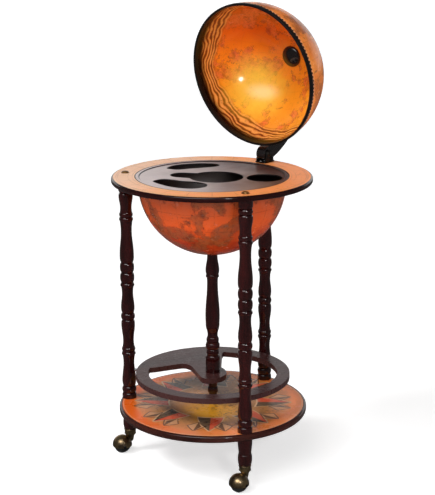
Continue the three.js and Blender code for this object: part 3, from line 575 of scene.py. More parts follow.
@dataclass(frozen=True)
class GlobePrint(Finish):
    """A made-up old map on a ball: seas, lands, coasts and a net of meridians and parallels."""

    centre: Triple
    turn: Matrix
    radius: float
    sea: tuple[Colour, Colour]
    land: tuple[Colour, Colour, Colour]
    ink: Colour
    # colours by height: partly the print's tone, partly painted shade
    tone_and_shade_by_height: tuple[tuple[float, Colour], ...] = ()
    # painted glare: the centre, reach and colour of a painted reflection of the lamps
    painted_glare: tuple[Triple, float, Colour] | None = None
    net: float = 0.3
    grain: float = 2.3
    shore: float = 0.535
    waves: int = 0
    wave_step: float = 0.062
    crowd: Triple | None = None
    scale_band: bool = False
    gloss: float = 0.2
    coat: float = 0.3
    specular: float = 0.2

    def paint(self, g: Graph) -> None:
        """Lays the sea, the lands, the waves, the painted glare, the ink and the scale in turn."""
        ball = g.vector("NORMALIZE", g.place(self.centre, self.turn))
        x, y, z = ball.parts()
        longitude, latitude = g.math("ARCTAN2", y, x) + WHOLE, g.math("ARCSINE", z)
        mottle = ball.noise(9, 6, 0.65)
        relief = ball.noise(self.grain, 8, 0.6, 0.35)
        if self.crowd:
            low, high, more = self.crowd
            relief += g.place().parts()[2].between(low, high, 0, more)
        tint = ball.noise(5.3, 5, 0.65).ramp(*zip((0.34, 0.5, 0.66), self.land))
        shore = relief.between(self.shore, self.shore + 0.04)
        colour = g.mix(shore * mottle.between(0.3, 0.7, 0.45, 0.9), self.ground(g, mottle), tint)
        if self.waves:
            colour = self.swell(g, ball, latitude, colour)
        marks = self.lines(g, ball, longitude, latitude, relief)
        # painted glare: a pale golden patch for the lamps' reflection, which also washes out the ink under it
        if self.painted_glare:
            near = self.near_painted_glare(g, mottle)
            marks *= 1 - near * 0.8
            colour = g.mix(near, colour, self.painted_glare[2])
        colour = g.mix(marks * 0.85, colour, self.ink)
        if self.scale_band:
            colour = self.teeth(g, longitude, latitude, colour)
        coat = latitude.between(0.14, 0.4, 0.02, self.coat) if self.waves else self.coat
        g.sheen(colour, mottle, (self.gloss, self.gloss + 0.08), self.specular, coat, 0.07)
        g.bump(mottle * 0.4 + marks * -0.3, 0.0003, 0.12)

    def ground(self, g: Graph, mottle: Value) -> Value:
        """The paper's own colour, mixed with a colour by height that is partly the print's tone and partly
        painted shade.
        """
        colour = mottle.ramp((0.3, self.sea[0]), (0.7, self.sea[1]))
        if not self.tone_and_shade_by_height:
            return colour
        low, high = self.tone_and_shade_by_height[0][0], self.tone_and_shade_by_height[-1][0]
        height = g.place().parts()[2] + (mottle - 0.5) * 0.07
        stops = (((level - low) / (high - low), tone) for level, tone in self.tone_and_shade_by_height)
        return g.mix(0.75, colour, height.between(low, high, kind="LINEAR").ramp(*stops))

    def near_painted_glare(self, g: Graph, mottle: Value) -> Value:
        """How near a place is to the middle of the painted glare, from 0 to 1."""
        centre, reach, _ = self.painted_glare
        away = g.vector("LENGTH", g.vector("SUBTRACT", g.place(), centre))
        return (away + mottle * 0.05).between(reach, 0.35 * reach, 0, 0.88)

    def swell(self, g: Graph, ball: Value, latitude: Value, colour: Value) -> Value:
        """Broad soft brown strokes that run beside the rim, over a browner ground, with painted shade
        darkening the inside next to the rim.
        """
        half = self.wave_step / 2
        drift = latitude + (ball.noise(2.1, 2) - 0.5) * 0.36
        uneven = (ball.noise(7, 3, 0.6) - 0.5) * 0.042
        strokes = (drift.folded(half) + uneven).between(0, half).ramp(
            (0.12, (0.09, 0.018, 0.006)), (0.34, (0.38, 0.09, 0.02)), (0.6, (0.66, 0.21, 0.035)),
            (0.85, (0.8, 0.34, 0.075)))
        reach = 0.09 + self.wave_step * self.waves
        colour = g.mix(drift.between(reach, reach - 0.1, 0, 0.85), colour, strokes)
        # painted shade: the inside darkens to near black next to the rim
        return g.mix(latitude.between(0.22, 0.11), colour, (0.006, 0.002, 0.001))

    def lines(self, g: Graph, ball: Value, longitude: Value, latitude: Value, relief: Value) -> Value:
        """The inked lines: coasts, shoals, a faint net and flecks."""
        level = self.shore + 0.013
        coast = relief.near(level, 0.0045)
        inner = (relief > level + 0.01) * (relief.folded(0.016) < 0.0028) * 0.75
        shoals = relief.band(level - 0.048, level - 0.006) * (relief.folded(0.0065) < 0.0012)
        hair, step = 0.0011 / self.radius, math.radians(15)
        net = longitude.line(step, hair / g.math("COSINE", latitude)) | (latitude + WHOLE).line(step, hair)
        worn = ball.noise(26, 4, 0.6).between(0.36, 0.62, 0.1, 0.9)
        flecks = ball.noise(44, 4, 0.75, 0.8).between(0.62, 0.68, 0, 0.75)
        flecks *= ball.noise(6, 2).between(0.42, 0.58)
        return (coast | inner | net * self.net | shoals * 0.55) * worn | flecks

    def teeth(self, g: Graph, longitude: Value, latitude: Value, colour: Value) -> Value:
        """A black line beside the rim with a row of teeth along it."""
        foot, line, tooth = 0.054, 0.066, 0.084
        row = latitude.band(foot, tooth) * longitude.line(math.radians(3), math.radians(0.75))
        colour = g.mix(latitude.band(line, tooth + 0.01) * 0.4, colour, (0.8, 0.42, 0.25))
        return g.mix((latitude < line) | row, colour, (0.008, 0.005, 0.005))


@dataclass(frozen=True)
class RingPrint(Finish):
    """The paper on the horizon ring: orange, paled to tan towards the left by a painted reflection, with a
    graduated band.
    """

    inner: float
    outer: float
    circles: tuple[float, ...] = (0.12, 0.3, 0.72, 0.8)
    hair: float = 0.0004

    def paint(self, g: Graph) -> None:
        """Lays the paper with its painted reflection, the circles, the graduations and the small figures."""
        place = g.place()
        x, y, _ = place.parts()
        flat, angle = g.polar()
        cloud = place.noise(14, 5, 0.6)
        # painted reflection: the paper pales to tan towards the left
        colour = (x + y * -0.35 + cloud * 0.12).between(-0.16, 0.26).ramp(
            (0, (0.97, 0.62, 0.42)), (0.45, (0.96, 0.4, 0.13)), (1, (0.95, 0.32, 0.1)))
        radii = [self.inner + (self.outer - self.inner) * share for share in self.circles]
        ink = angle.line(math.radians(2), math.radians(0.16)) * flat.band(radii[2], radii[3])
        ink |= angle.line(math.radians(15), math.radians(0.2)) * flat.band(radii[0], radii[2])
        for radius in radii:
            ink |= flat.near(radius, self.hair)
        figures = place.stretched((1, 1, 0)).noise(95, 3, 0.7, 1.2).between(0.58, 0.64)
        figures *= flat.band(radii[1] + 0.003, radii[2] - 0.004) * x.between(-0.05, 0.16, 0.35, 1.4)
        worn = place.noise(22, 4).between(0.35, 0.65, 0.1, 0.6)
        colour = g.mix((ink | figures * 0.7) * worn, colour, (0.2, 0.045, 0.02))
        edge = 1 - flat.band(self.inner + 0.0014, self.outer - 0.0045)
        g.sheen(g.mix(edge, colour, (0.025, 0.006, 0.005)), cloud, (0.42, 0.5), 0.2, 0.05, 0.1)


@dataclass(frozen=True)
class ShelfPrint(Finish):
    """The paper on the lower shelf: an old chart with a compass rose, in an orange border."""

    radius: float
    heading: float = math.radians(92.7)
    dart: Triple = (0.48, 0.832, math.radians(16))
    petal: Triple = (0.61, 0.85, math.radians(7.2))
    part: float = math.radians(11.25)
    # the centre of the golden patch of painted light, a little in front of the middle
    lit_patch_centre: Triple = (0.005, -0.06, 0)

    def paint(self, g: Graph) -> None:
        """Lays the chart, its golden middle that is partly painted light, the border, the figures and the
        rose.
        """
        place = g.place()
        flat, angle = g.polar(self.heading)
        share = flat / self.radius
        cloud = place.noise(11, 6, 0.62)
        border = (place.parts()[0] + cloud * 0.08).between(-0.17, 0.2).ramp(
            (0, (0.85, 0.13, 0.01)), (0.45, (0.72, 0.22, 0.06)), (1, (0.98, 0.25, 0.05)))
        wavering = share + (cloud - 0.5) * 0.16
        chart = wavering.ramp((0.2, (0.46, 0.2, 0.07)), (0.64, (0.42, 0.18, 0.055)),
                              (0.84, (0.7, 0.2, 0.045)))
        # painted pool of light: a golden patch in front of the middle, partly the chart's tone and partly
        # painted light
        away = g.vector("LENGTH", g.vector("SUBTRACT", place.stretched((1, 1, 0)), self.lit_patch_centre))
        gold_and_lit_patch = (away + (cloud - 0.5) * 0.06).between(0.085, 0.03, 0, 0.9)
        colour = g.mix(wavering.between(0.8, 0.88), g.mix(gold_and_lit_patch, chart, (0.72, 0.32, 0.015)), border)
        sepia = place.noise(70, 4, 0.7, 1.5).between(0.5, 0.6) * wavering.between(0.86, 0.64, 0.08, 0.85)
        sepia *= place.noise(18).between(0.35, 0.65, 0.15, 0.9)
        colour = g.mix(sepia, colour, (0.11, 0.045, 0.02))
        colour = self.petals(g, share, angle, self.darts(g, share, angle, colour))
        colour = g.mix(share.near(0.957, 0.004) * 0.7, colour, (0.85, 0.5, 0.3))
        colour = g.mix(share > 0.97, colour, (0.035, 0.009, 0.007))
        g.sheen(colour, cloud, (0.22, 0.32), 0.2, 0.06, 0.08)

    def darts(self, g: Graph, share: Value, angle: Value, colour: Value) -> Value:
        """Draws the eight points of the rose, each half dark and half red."""
        low, high, wide = self.dart
        away = angle.folded(2 * self.part)
        half = (high - share) * (wide / (high - low))
        outlined = (away < half + 0.022) * share.band(low - 0.015, high + 0.01)
        colour = g.mix(outlined, colour, (0.62, 0.38, 0.2))
        paint = g.mix(g.math("SINE", angle * 8) > 0, (0.012, 0.004, 0.003), (0.6, 0.04, 0.01))
        worn = g.place().noise(60, 4, 0.7).between(0.3, 0.6, 0.98, 0.78)
        return g.mix((away < half) * share.band(low, high) * worn, colour, paint)

    def petals(self, g: Graph, share: Value, angle: Value, colour: Value) -> Value:
        """Draws an outlined almond on either side of each point, dark in the half next to it."""
        low, high, wide = self.petal
        away = (angle + self.part).folded(self.part)
        half = ((share - low) / ((high - low) / 2)).folded(1) * wide
        ends = share.band(low, high)
        inside = (away < half) * ends
        near = (angle.folded(2 * self.part) < self.part) * (away < half * 0.62)
        colour = g.mix(inside * 0.5, colour, (0.6, 0.34, 0.18))
        dark = away.near(half, 0.011) * ends | inside * near
        return g.mix(dark * 0.85, colour, (0.06, 0.025, 0.014))


MAHOGANY = Lacquer("mahogany", (0.008, 0.0008, 0.0008), (0.032, 0.0035, 0.0035), (70, 70, 5), 0.16, 0.12, 1.0)
RING_EDGE = Lacquer("ring_edge", (0.006, 0.001, 0.001), (0.022, 0.003, 0.003), (9, 9, 60), 0.18, 0.12, 0.5)
SHELF_EDGE = Lacquer("shelf_edge", (0.016, 0.004, 0.003), (0.05, 0.012, 0.008), (9, 9, 60), 0.18, 0.15, 0.5)
TIER_BOARD = Lacquer("tier_board", (0.046, 0.017, 0.016), (0.056, 0.02, 0.019), (8, 60, 20),
                     0.26, 0.2, 0.08, 0.03)
# the tray: a dark board with a pale painted reflection on its left
TRAY_BOARD = Satin("tray_board", (0.66, 0.58, 0.57), (0.06, 0.02, 0.013), 0.42)
TRAY_EDGE = Plastic("tray_edge", (0.008, 0.006, 0.006), 0.3)
BLACK_LACQUER = Plastic("black_lacquer", (0.006, 0.004, 0.004), 0.12, 0.5)
RIM_BLACK = Plastic("rim_black", (0.004, 0.003, 0.003), 0.3, specular=0.16)
WHEEL_BLACK = Plastic("wheel_black", (0.008, 0.008, 0.008), 0.4)
FLOOR_BLACK = Plastic("bowl_floor_black", (0.02, 0.012, 0.01), 0.45)
BRONZE = Metal("antique_bronze", (0.45, 0.32, 0.17), (0.12, 0.088, 0.058), 0.28, 45)
BRASS = Metal("brass", (0.5, 0.29, 0.11), (0.2, 0.1, 0.04), 0.3)
BLACK_METAL = Metal("black_metal", (0.06, 0.055, 0.05), (0.02, 0.018, 0.017), 0.3)
STEEL = Metal("steel", (0.55, 0.55, 0.56), (0.35, 0.35, 0.36), 0.3)


class Blank:
    """The mesh of a piece while it is shaped."""

    def __init__(self) -> None:
        """Starts with nothing."""
        self.mesh = bmesh.new()

    def clean(self) -> "Blank":
        """Merges what coincides and turns the faces outwards."""
        bmesh.ops.remove_doubles(self.mesh, verts=self.mesh.verts, dist=1e-6)
        bmesh.ops.dissolve_degenerate(self.mesh, edges=self.mesh.edges, dist=1e-7)
        bmesh.ops.recalc_face_normals(self.mesh, faces=self.mesh.faces)
        return self

    def spun(self, points: Sequence[Point], sides: int = TURNED_SIDES, closed: bool = False) -> "Blank":
        """Turns an outline round the Z axis.

        Args:
            points: The outline, as (radius, height).
            sides: Facets round the piece.
            closed: Whether the outline's last point joins its first.

        Returns:
            This blank.
        """
        verts = [self.mesh.verts.new((radius, 0, height)) for radius, height in points]
        pairs = list(zip(verts, verts[1:])) + ([(verts[-1], verts[0])] if closed else [])
        edges = [self.mesh.edges.new(pair) for pair in pairs]
        bmesh.ops.spin(self.mesh, geom=verts + edges, cent=(0, 0, 0), axis=(0, 0, 1), dvec=(0, 0, 0),
                       angle=WHOLE, steps=sides, use_merge=True, use_duplicate=False)
        return self.clean()

    def board(self, loops: Sequence[Sequence[Point]], low: float, high: float) -> "Blank":
        """Makes a flat board.

        Args:
            loops: Its outline and the outlines of its openings.
            low: The height of its underside.
            high: The height of its top.

        Returns:
            This blank.
        """
        edges = []
        for loop in loops:
            verts = [self.mesh.verts.new((x, y, low)) for x, y in loop]
            edges += [self.mesh.edges.new(pair) for pair in zip(verts, verts[1:] + verts[:1])]
        made = bmesh.ops.triangle_fill(self.mesh, edges=edges, use_beauty=True, use_dissolve=False)
        faces = [f for f in made["geom"] if isinstance(f, bmesh.types.BMFace)]
        raised = bmesh.ops.extrude_face_region(self.mesh, geom=faces)["geom"]
        lifted = [v for v in raised if isinstance(v, bmesh.types.BMVert)]
        bmesh.ops.translate(self.mesh, verts=lifted, vec=(0, 0, high - low))
        return self.clean()

    def softened(self, width: float, segments: int, sharpest: float = 40) -> "Blank":
        """Rounds the edges that are sharper than an angle in degrees."""
        edges = [e for e in self.mesh.edges
                 if len(e.link_faces) == 2 and e.calc_face_angle() > math.radians(sharpest)]
        bmesh.ops.bevel(self.mesh, geom=edges, offset=width, offset_type="OFFSET", segments=segments,
                        profile=0.5, affect="EDGES", clamp_overlap=True, material=-1)
        return self

    def moved(self, matrix: Matrix) -> "Blank":
        """Puts the mesh in its place."""
        bmesh.ops.transform(self.mesh, matrix=matrix, verts=self.mesh.verts)
        return self

    def object(self, name: str) -> bpy.types.Object:
        """The mesh as an object with smooth faces between its sharp edges."""
        data = bpy.data.meshes.new(name)
        self.mesh.to_mesh(data)
        self.mesh.free()
        data.shade_smooth()
        data.set_sharp_from_angle(angle=math.radians(32))
        obj = bpy.data.objects.new(name, data)
        bpy.context.scene.collection.objects.link(obj)
        return obj

    def carved(self, *steps: tuple[str, "Blank"]) -> "Blank":
        """Joins other blanks to this one, or cuts them out of it, in turn.

        Args:
            steps: Pairs of UNION or DIFFERENCE and the other blank.

        Returns:
            The result, as a blank of its own.
        """
        base = self.object("carving")
        others = [blank.object("cutter") for _, blank in steps]
        for (operation, _), other in zip(steps, others):
            cut = base.modifiers.new(operation, "BOOLEAN")
            cut.operation, cut.solver, cut.object = operation, "EXACT", other
        bpy.context.view_layer.update()
        shaped = base.evaluated_get(bpy.context.evaluated_depsgraph_get()).to_mesh()
        result = Blank()
        result.mesh.from_mesh(shaped)
        for obj in (base, *others):
            bpy.data.meshes.remove(obj.data)
        return result.clean()

    def piece(self, name: str, body: str, finish: Finish, slot: str, *nodes: str,
              flats: bool = False) -> bpy.types.Object:
        """Finishes a piece.

        Args:
            name: The piece's name.
            body: The body that it rides on.
            finish: What it is made of.
            slot: The record's material slot; not used.
            nodes: The CAD nodes that it stands for.
            flats: Whether large flat faces must keep their shading.

        Returns:
            The piece's object.
        """
        obj = self.object(name)
        obj.data.materials.append(finish.material())
        if flats:
            obj.modifiers.new("flat_shading", "WEIGHTED_NORMAL").keep_sharp = True
        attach(obj, body)
        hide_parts(*nodes)
        log.info("%s: %d faces on %s", name, len(obj.data.polygons), body)
        return obj


def painted(obj: bpy.types.Object, finish: Finish,
            chosen: Callable[[bpy.types.MeshPolygon], bool]) -> None:
    """Gives a second finish to the faces that a test picks."""
    obj.data.materials.append(finish.material())
    for face in obj.data.polygons:
        if chosen(face):
            face.material_index = 1


def on_top(height: float) -> Callable[[bpy.types.MeshPolygon], bool]:
    """A test that picks the level faces at a height."""
    return lambda face: face.normal.z > 0.99 and face.center.z > height - 1e-4


def spindle(name: str, outline: list[Point], axis: Matrix, node: str) -> None:
    """Turns a wooden piece from an outline that is open at both ends."""
    closed = [(0, outline[0][1]), *outline, (0, outline[-1][1])]
    Blank().spun(closed).moved(axis).piece(name, "root", MAHOGANY, "mahogany", node)


@dataclass
class TurnedLegs:
    """Three legs, each of two spindles, with a foot under the shelf."""

    radius: float = 0.0167
    spigot_radius: float = 0.01169
    spigot_depth: float = 0.00945

    def build(self) -> None:
        """Turns the legs between shelf and ring, and the feet down to the casters' cups."""
        low, high = top_of("bottom_shelf"), foot_of("horizon_ring")
        for name in LEGS:
            axis = upright_at("leg_dowel_" + name)
            for part, marks in (("lower", LOWER_LEG), ("upper", UPPER_LEG)):
                outline = turned_outline(marks, self.radius, low, high)
                spindle(f"{part}_spindle_{name}", outline, axis, f"leg_{part}_{name}")
            seat = top_of("caster_cup_" + name)
            outline = turned_outline(FOOT, self.radius, foot_of("bottom_shelf"), seat)
            outline += [(self.spigot_radius, seat), (self.spigot_radius, seat - self.spigot_depth)]
            spindle("turned_foot_" + name, outline[::-1], axis, "foot_" + name)


@dataclass
class CentrePost:
    """The post under the bowl: a short spindle below the tier and a long one above it."""

    radius: float = 0.0165

    def build(self) -> None:
        """Turns both spindles."""
        for part, marks, low in (("lower", LOWER_POST, top_of("bottom_shelf")),
                                 ("upper", UPPER_POST, foot_of("post_upper"))):
            outline = turned_outline(marks, self.radius, low, top_of("post_" + part))
            spindle(part + "_post_spindle", outline, Matrix.Identity(4), "post_" + part)


@dataclass
class Boards:
    """The lower shelf, the tier and the horizon ring."""

    shelf_radius: float = 0.2166
    shelf_soft: float = 0.0048
    tier_radius: float = 0.1776
    tier_soft: float = 0.0035
    tier_bands: Point = (0.029, 0.039)
    tier_opening: Point = (math.radians(170.5), math.radians(439.4))
    tier_steps: int = 90
    ring_radius: float = 0.225
    ring_soft: float = 0.004
    rebate_radius: float = 0.1715
    rebate_soft: float = 0.0005
    rebate_depth: float = 0.006
    hole_radius: float = 0.1675

    def build(self) -> None:
        """Makes the three boards."""
        self.shelf()
        self.tier()
        self.ring()

    def shelf(self) -> None:
        """A solid disc with a rounded edge and a printed top."""
        low, high = foot_of("bottom_shelf"), top_of("bottom_shelf")
        edge = board_edge(self.shelf_radius, low, high, self.shelf_soft)
        obj = Blank().spun([(0, low), *edge, (0, high)], ROUND_SIDES).piece(
            "shelf_board", "root", SHELF_EDGE, "printed_board", "bottom_shelf", flats=True)
        painted(obj, ShelfPrint("shelf_print", self.shelf_radius), on_top(high))

    def tier(self) -> None:
        """A disc with one C-shaped opening round a hub that a spoke holds."""
        start, end = self.tier_opening
        front_band, back_band = self.tier_bands
        opening: list[Point] = []
        for step in range(self.tier_steps + 1):
            azimuth = start + (end - start) * step / self.tier_steps
            back = min(max((azimuth - WHOLE) / (end - WHOLE), 0), 1)
            back = back * back * (3 - 2 * back)
            radius = self.tier_radius - front_band - (back_band - front_band) * back
            opening.append((radius * math.cos(azimuth), radius * math.sin(azimuth)))
        opening += flowing(TIER_LOBE, self.tier_radius, False)
        rim = circle((0, 0), self.tier_radius, ROUND_SIDES)
        blank = Blank().board([rim, opening], foot_of("middle_tier"), top_of("middle_tier"))
        blank.softened(self.tier_soft, 4).piece(
            "tier_disc", "root", TIER_BOARD, "tier_board", "middle_tier", flats=True)

    def ring(self) -> None:
        """A flat ring with a rebate for the bowl's flange and a printed top."""
        low, high = foot_of("horizon_ring"), top_of("horizon_ring")
        ledge, rebate, soft = high - self.rebate_depth, self.rebate_radius, self.rebate_soft
        outline = [(self.hole_radius, low), *board_edge(self.ring_radius, low, high, self.ring_soft),
                   (rebate + soft, high), (rebate, high - soft), (rebate, ledge), (self.hole_radius, ledge)]
        obj = Blank().spun(outline, ROUND_SIDES, closed=True).piece(
            "ring_board", "root", RING_EDGE, "printed_board", "horizon_ring", flats=True)
        painted(obj, RingPrint("ring_print", rebate, self.ring_radius), on_top(high))


@dataclass
class RingCaps:
    """The brass caps over the leg bolts that show."""

    radius: float = 0.009
    brim: float = 0.0012
    height: float = 0.0021
    brim_edge: tuple[Point, ...] = ((0, 0), (1, 0), (1, 0.7), (0.93, 1))
    dish: tuple[Point, ...] = ((0.86, 0.1), (0.84, 0.5), (0.79, 0.86), (0.72, 1), (0.64, 0.9), (0.54, 0.6),
                               (0.4, 0.4), (0.2, 0.32), (0, 0.3))

    def build(self) -> None:
        """Turns a brim and a dished head for each."""
        for name in LEGS[:2]:
            node = "ring_cap_" + name
            base = foot_of(node)
            outline = [(self.radius * x, base + self.brim * y) for x, y in self.brim_edge]
            outline += [(self.radius * x, base + self.brim + self.height * y) for x, y in self.dish]
            Blank().spun(outline).moved(upright_at(node)).piece(
                "bolt_cap_" + name, "root", BRASS, "brass", node)


@dataclass
class GlobeBowl:
    """The lower half of the globe, with its flange, and the floor inside it."""

    radius: float = 0.166
    wall: float = 0.003
    flange_radius: float = 0.171
    flange_thickness: float = 0.0025
    hole: float = 0.0043
    drop: float = 0.0125
    floor_gap: float = 0.001

    def build(self) -> None:
        """Turns the bowl and its floor."""
        centre, top = top_of("horizon_ring") - self.drop, top_of("bowl")
        inner, foot = self.radius - self.wall, top - self.flange_thickness
        outline = [
            *arc((0, centre), self.radius, -math.acos(self.hole / self.radius), 0, 40),
            (self.radius, foot), (self.flange_radius, foot), (self.flange_radius, top), (inner, top),
            *arc((0, centre), inner, 0, -math.acos(self.hole / inner), 40),
        ]
        obj = Blank().spun(outline, ROUND_SIDES, closed=True).piece(
            "globe_bowl", "root", FLOOR_BLACK, "globe_shell", "bowl")
        middle_place = Vector((0, 0, centre))
        painted(obj, self.outside(centre), lambda f: (f.center - middle_place).length > self.radius - 0.001)
        low, high = foot_of("bowl_floor"), top_of("bowl_floor")
        reach = [math.sqrt((inner - self.floor_gap) ** 2 - (centre - z) ** 2) for z in (low, high)]
        Blank().spun([(0, low), (reach[0], low), (reach[1], high), (0, high)], ROUND_SIDES).piece(
            "bowl_floor_board", "root", FLOOR_BLACK, "black_lacquer", "bowl_floor")

    def outside(self, centre: float) -> GlobePrint:
        """The bowl's print, with painted shade that darkens it towards its foot and under the ring."""
        # painted shade: darkest at the foot, brightest below the middle, darker again under the ring
        tone_and_shade_by_height = ((-self.radius, (0.12, 0.006, 0.002)), (-0.12, (0.34, 0.02, 0.003)),
                (-0.07, (0.66, 0.08, 0.009)), (-0.03, (0.48, 0.075, 0.02)), (0, (0.36, 0.07, 0.03)))
        return GlobePrint(
            "bowl_print", (0, 0, centre), Matrix.Rotation(1.6, 3, "Z"), self.radius,
            sea=((0.42, 0.04, 0.008), (0.66, 0.11, 0.018)),
            land=((0.13, 0.05, 0.025), (0.24, 0.06, 0.018), (0.07, 0.02, 0.01)), ink=(0.035, 0.01, 0.006),
            tone_and_shade_by_height=tuple((centre + rise, tone) for rise, tone in tone_and_shade_by_height), net=0.4, shore=0.478, coat=0.2)


@dataclass
class ServingTray:
    """The dark disc that closes the bowl, with its four openings."""

    radius: float = 0.171
    panel_radius: float = 0.1615
    panel_thickness: float = 0.003
    panel_soft: float = 0.0006
    panel_lap: float = 0.001
    rim_thickness: float = 0.003
    rim_step: float = 0.0018
    rim_width: float = 0.0075
    rim_soft: float = 0.0005
    well: Triple = (0.058, -0.052, 0.35)
    bay: Triple = (-0.397, 0.082, 0.15)
    round_hole: Triple = (0.682, -0.117, 0.234)

    def build(self) -> None:
        """Cuts the panel, lays the rim on it and blackens the edges of the openings."""
        top, radius, soft = top_of("tray"), self.radius, self.rim_soft
        panel_top = top - self.rim_step
        hole_x, hole_y, hole_radius = (radius * share for share in self.round_hole)
        loops = [
            circle((0, 0), self.panel_radius + self.panel_lap, ROUND_SIDES),
            flowing(FRONT_BEAN, radius, True), flowing(BACK_BEAN, radius, True),
            self.well_outline(), circle((hole_x, hole_y), hole_radius, 64),
        ]
        panel = Blank().board(loops, panel_top - self.panel_thickness, panel_top)
        foot, inner = top - self.rim_thickness, radius - self.rim_width
        rim = Blank().spun([
            (self.panel_radius - 0.0004, foot), (radius - soft, foot), (radius, foot + soft),
            (radius, top - soft), (radius - soft, top), (inner + soft, top), (inner, top - soft),
            (self.panel_radius, panel_top - 0.0002),
        ], ROUND_SIDES, closed=True)
        obj = panel.softened(self.panel_soft, 2).carved(("UNION", rim)).piece(
            "serving_tray", "root", TRAY_BOARD, "tray_board", "tray", flats=True)
        painted(obj, TRAY_EDGE, lambda f: abs(f.normal.z) < 0.98)

    def well_outline(self) -> list[Point]:
        """The large round opening and the bay that opens out of it, as one loop."""
        x, y, wide = (self.radius * share for share in self.well)
        bay_x, bay_y, narrow = (self.radius * share for share in self.bay)
        heading = math.atan2(bay_y - y, bay_x - x)
        mouth = math.asin(narrow / wide) + 0.03
        return [*arc((x, y), wide, heading + mouth, heading + WHOLE - mouth, 80),
                *arc((bay_x, bay_y), narrow, heading - QUARTER, heading + QUARTER, 24)]


class LidFrame:
    """Where the open lid is: its centre, and a frame whose Z runs to the pole and X to the hinge."""

    def __init__(self) -> None:
        """Measures the lid's rim band, cap, finial and hinge pin."""
        inner, outer = (Vector(places(node).mean(axis=0)) for node in ("inner_cap", "finial"))
        pole = (outer - inner).normalized()
        rim = min(places("lid_rim_band") @ np.array(pole))
        self.centre = inner + pole * (rim - inner.dot(pole))
        arm = middle("hinge_pin") - self.centre
        out = (arm - pole * arm.dot(pole)).normalized()
        self.turn = Matrix((out, pole.cross(out), pole)).transposed()
        self.matrix = Matrix.Translation(self.centre) @ self.turn.to_4x4()
        self.pivot = (arm.dot(out), arm.dot(pole))

    def span(self, node: str) -> Point:
        """The lowest and highest place of a CAD node along the pole's axis, from the centre."""
        along = (places(node) - np.array(self.centre)) @ np.array(self.turn.col[2])
        return float(along.min()), float(along.max())


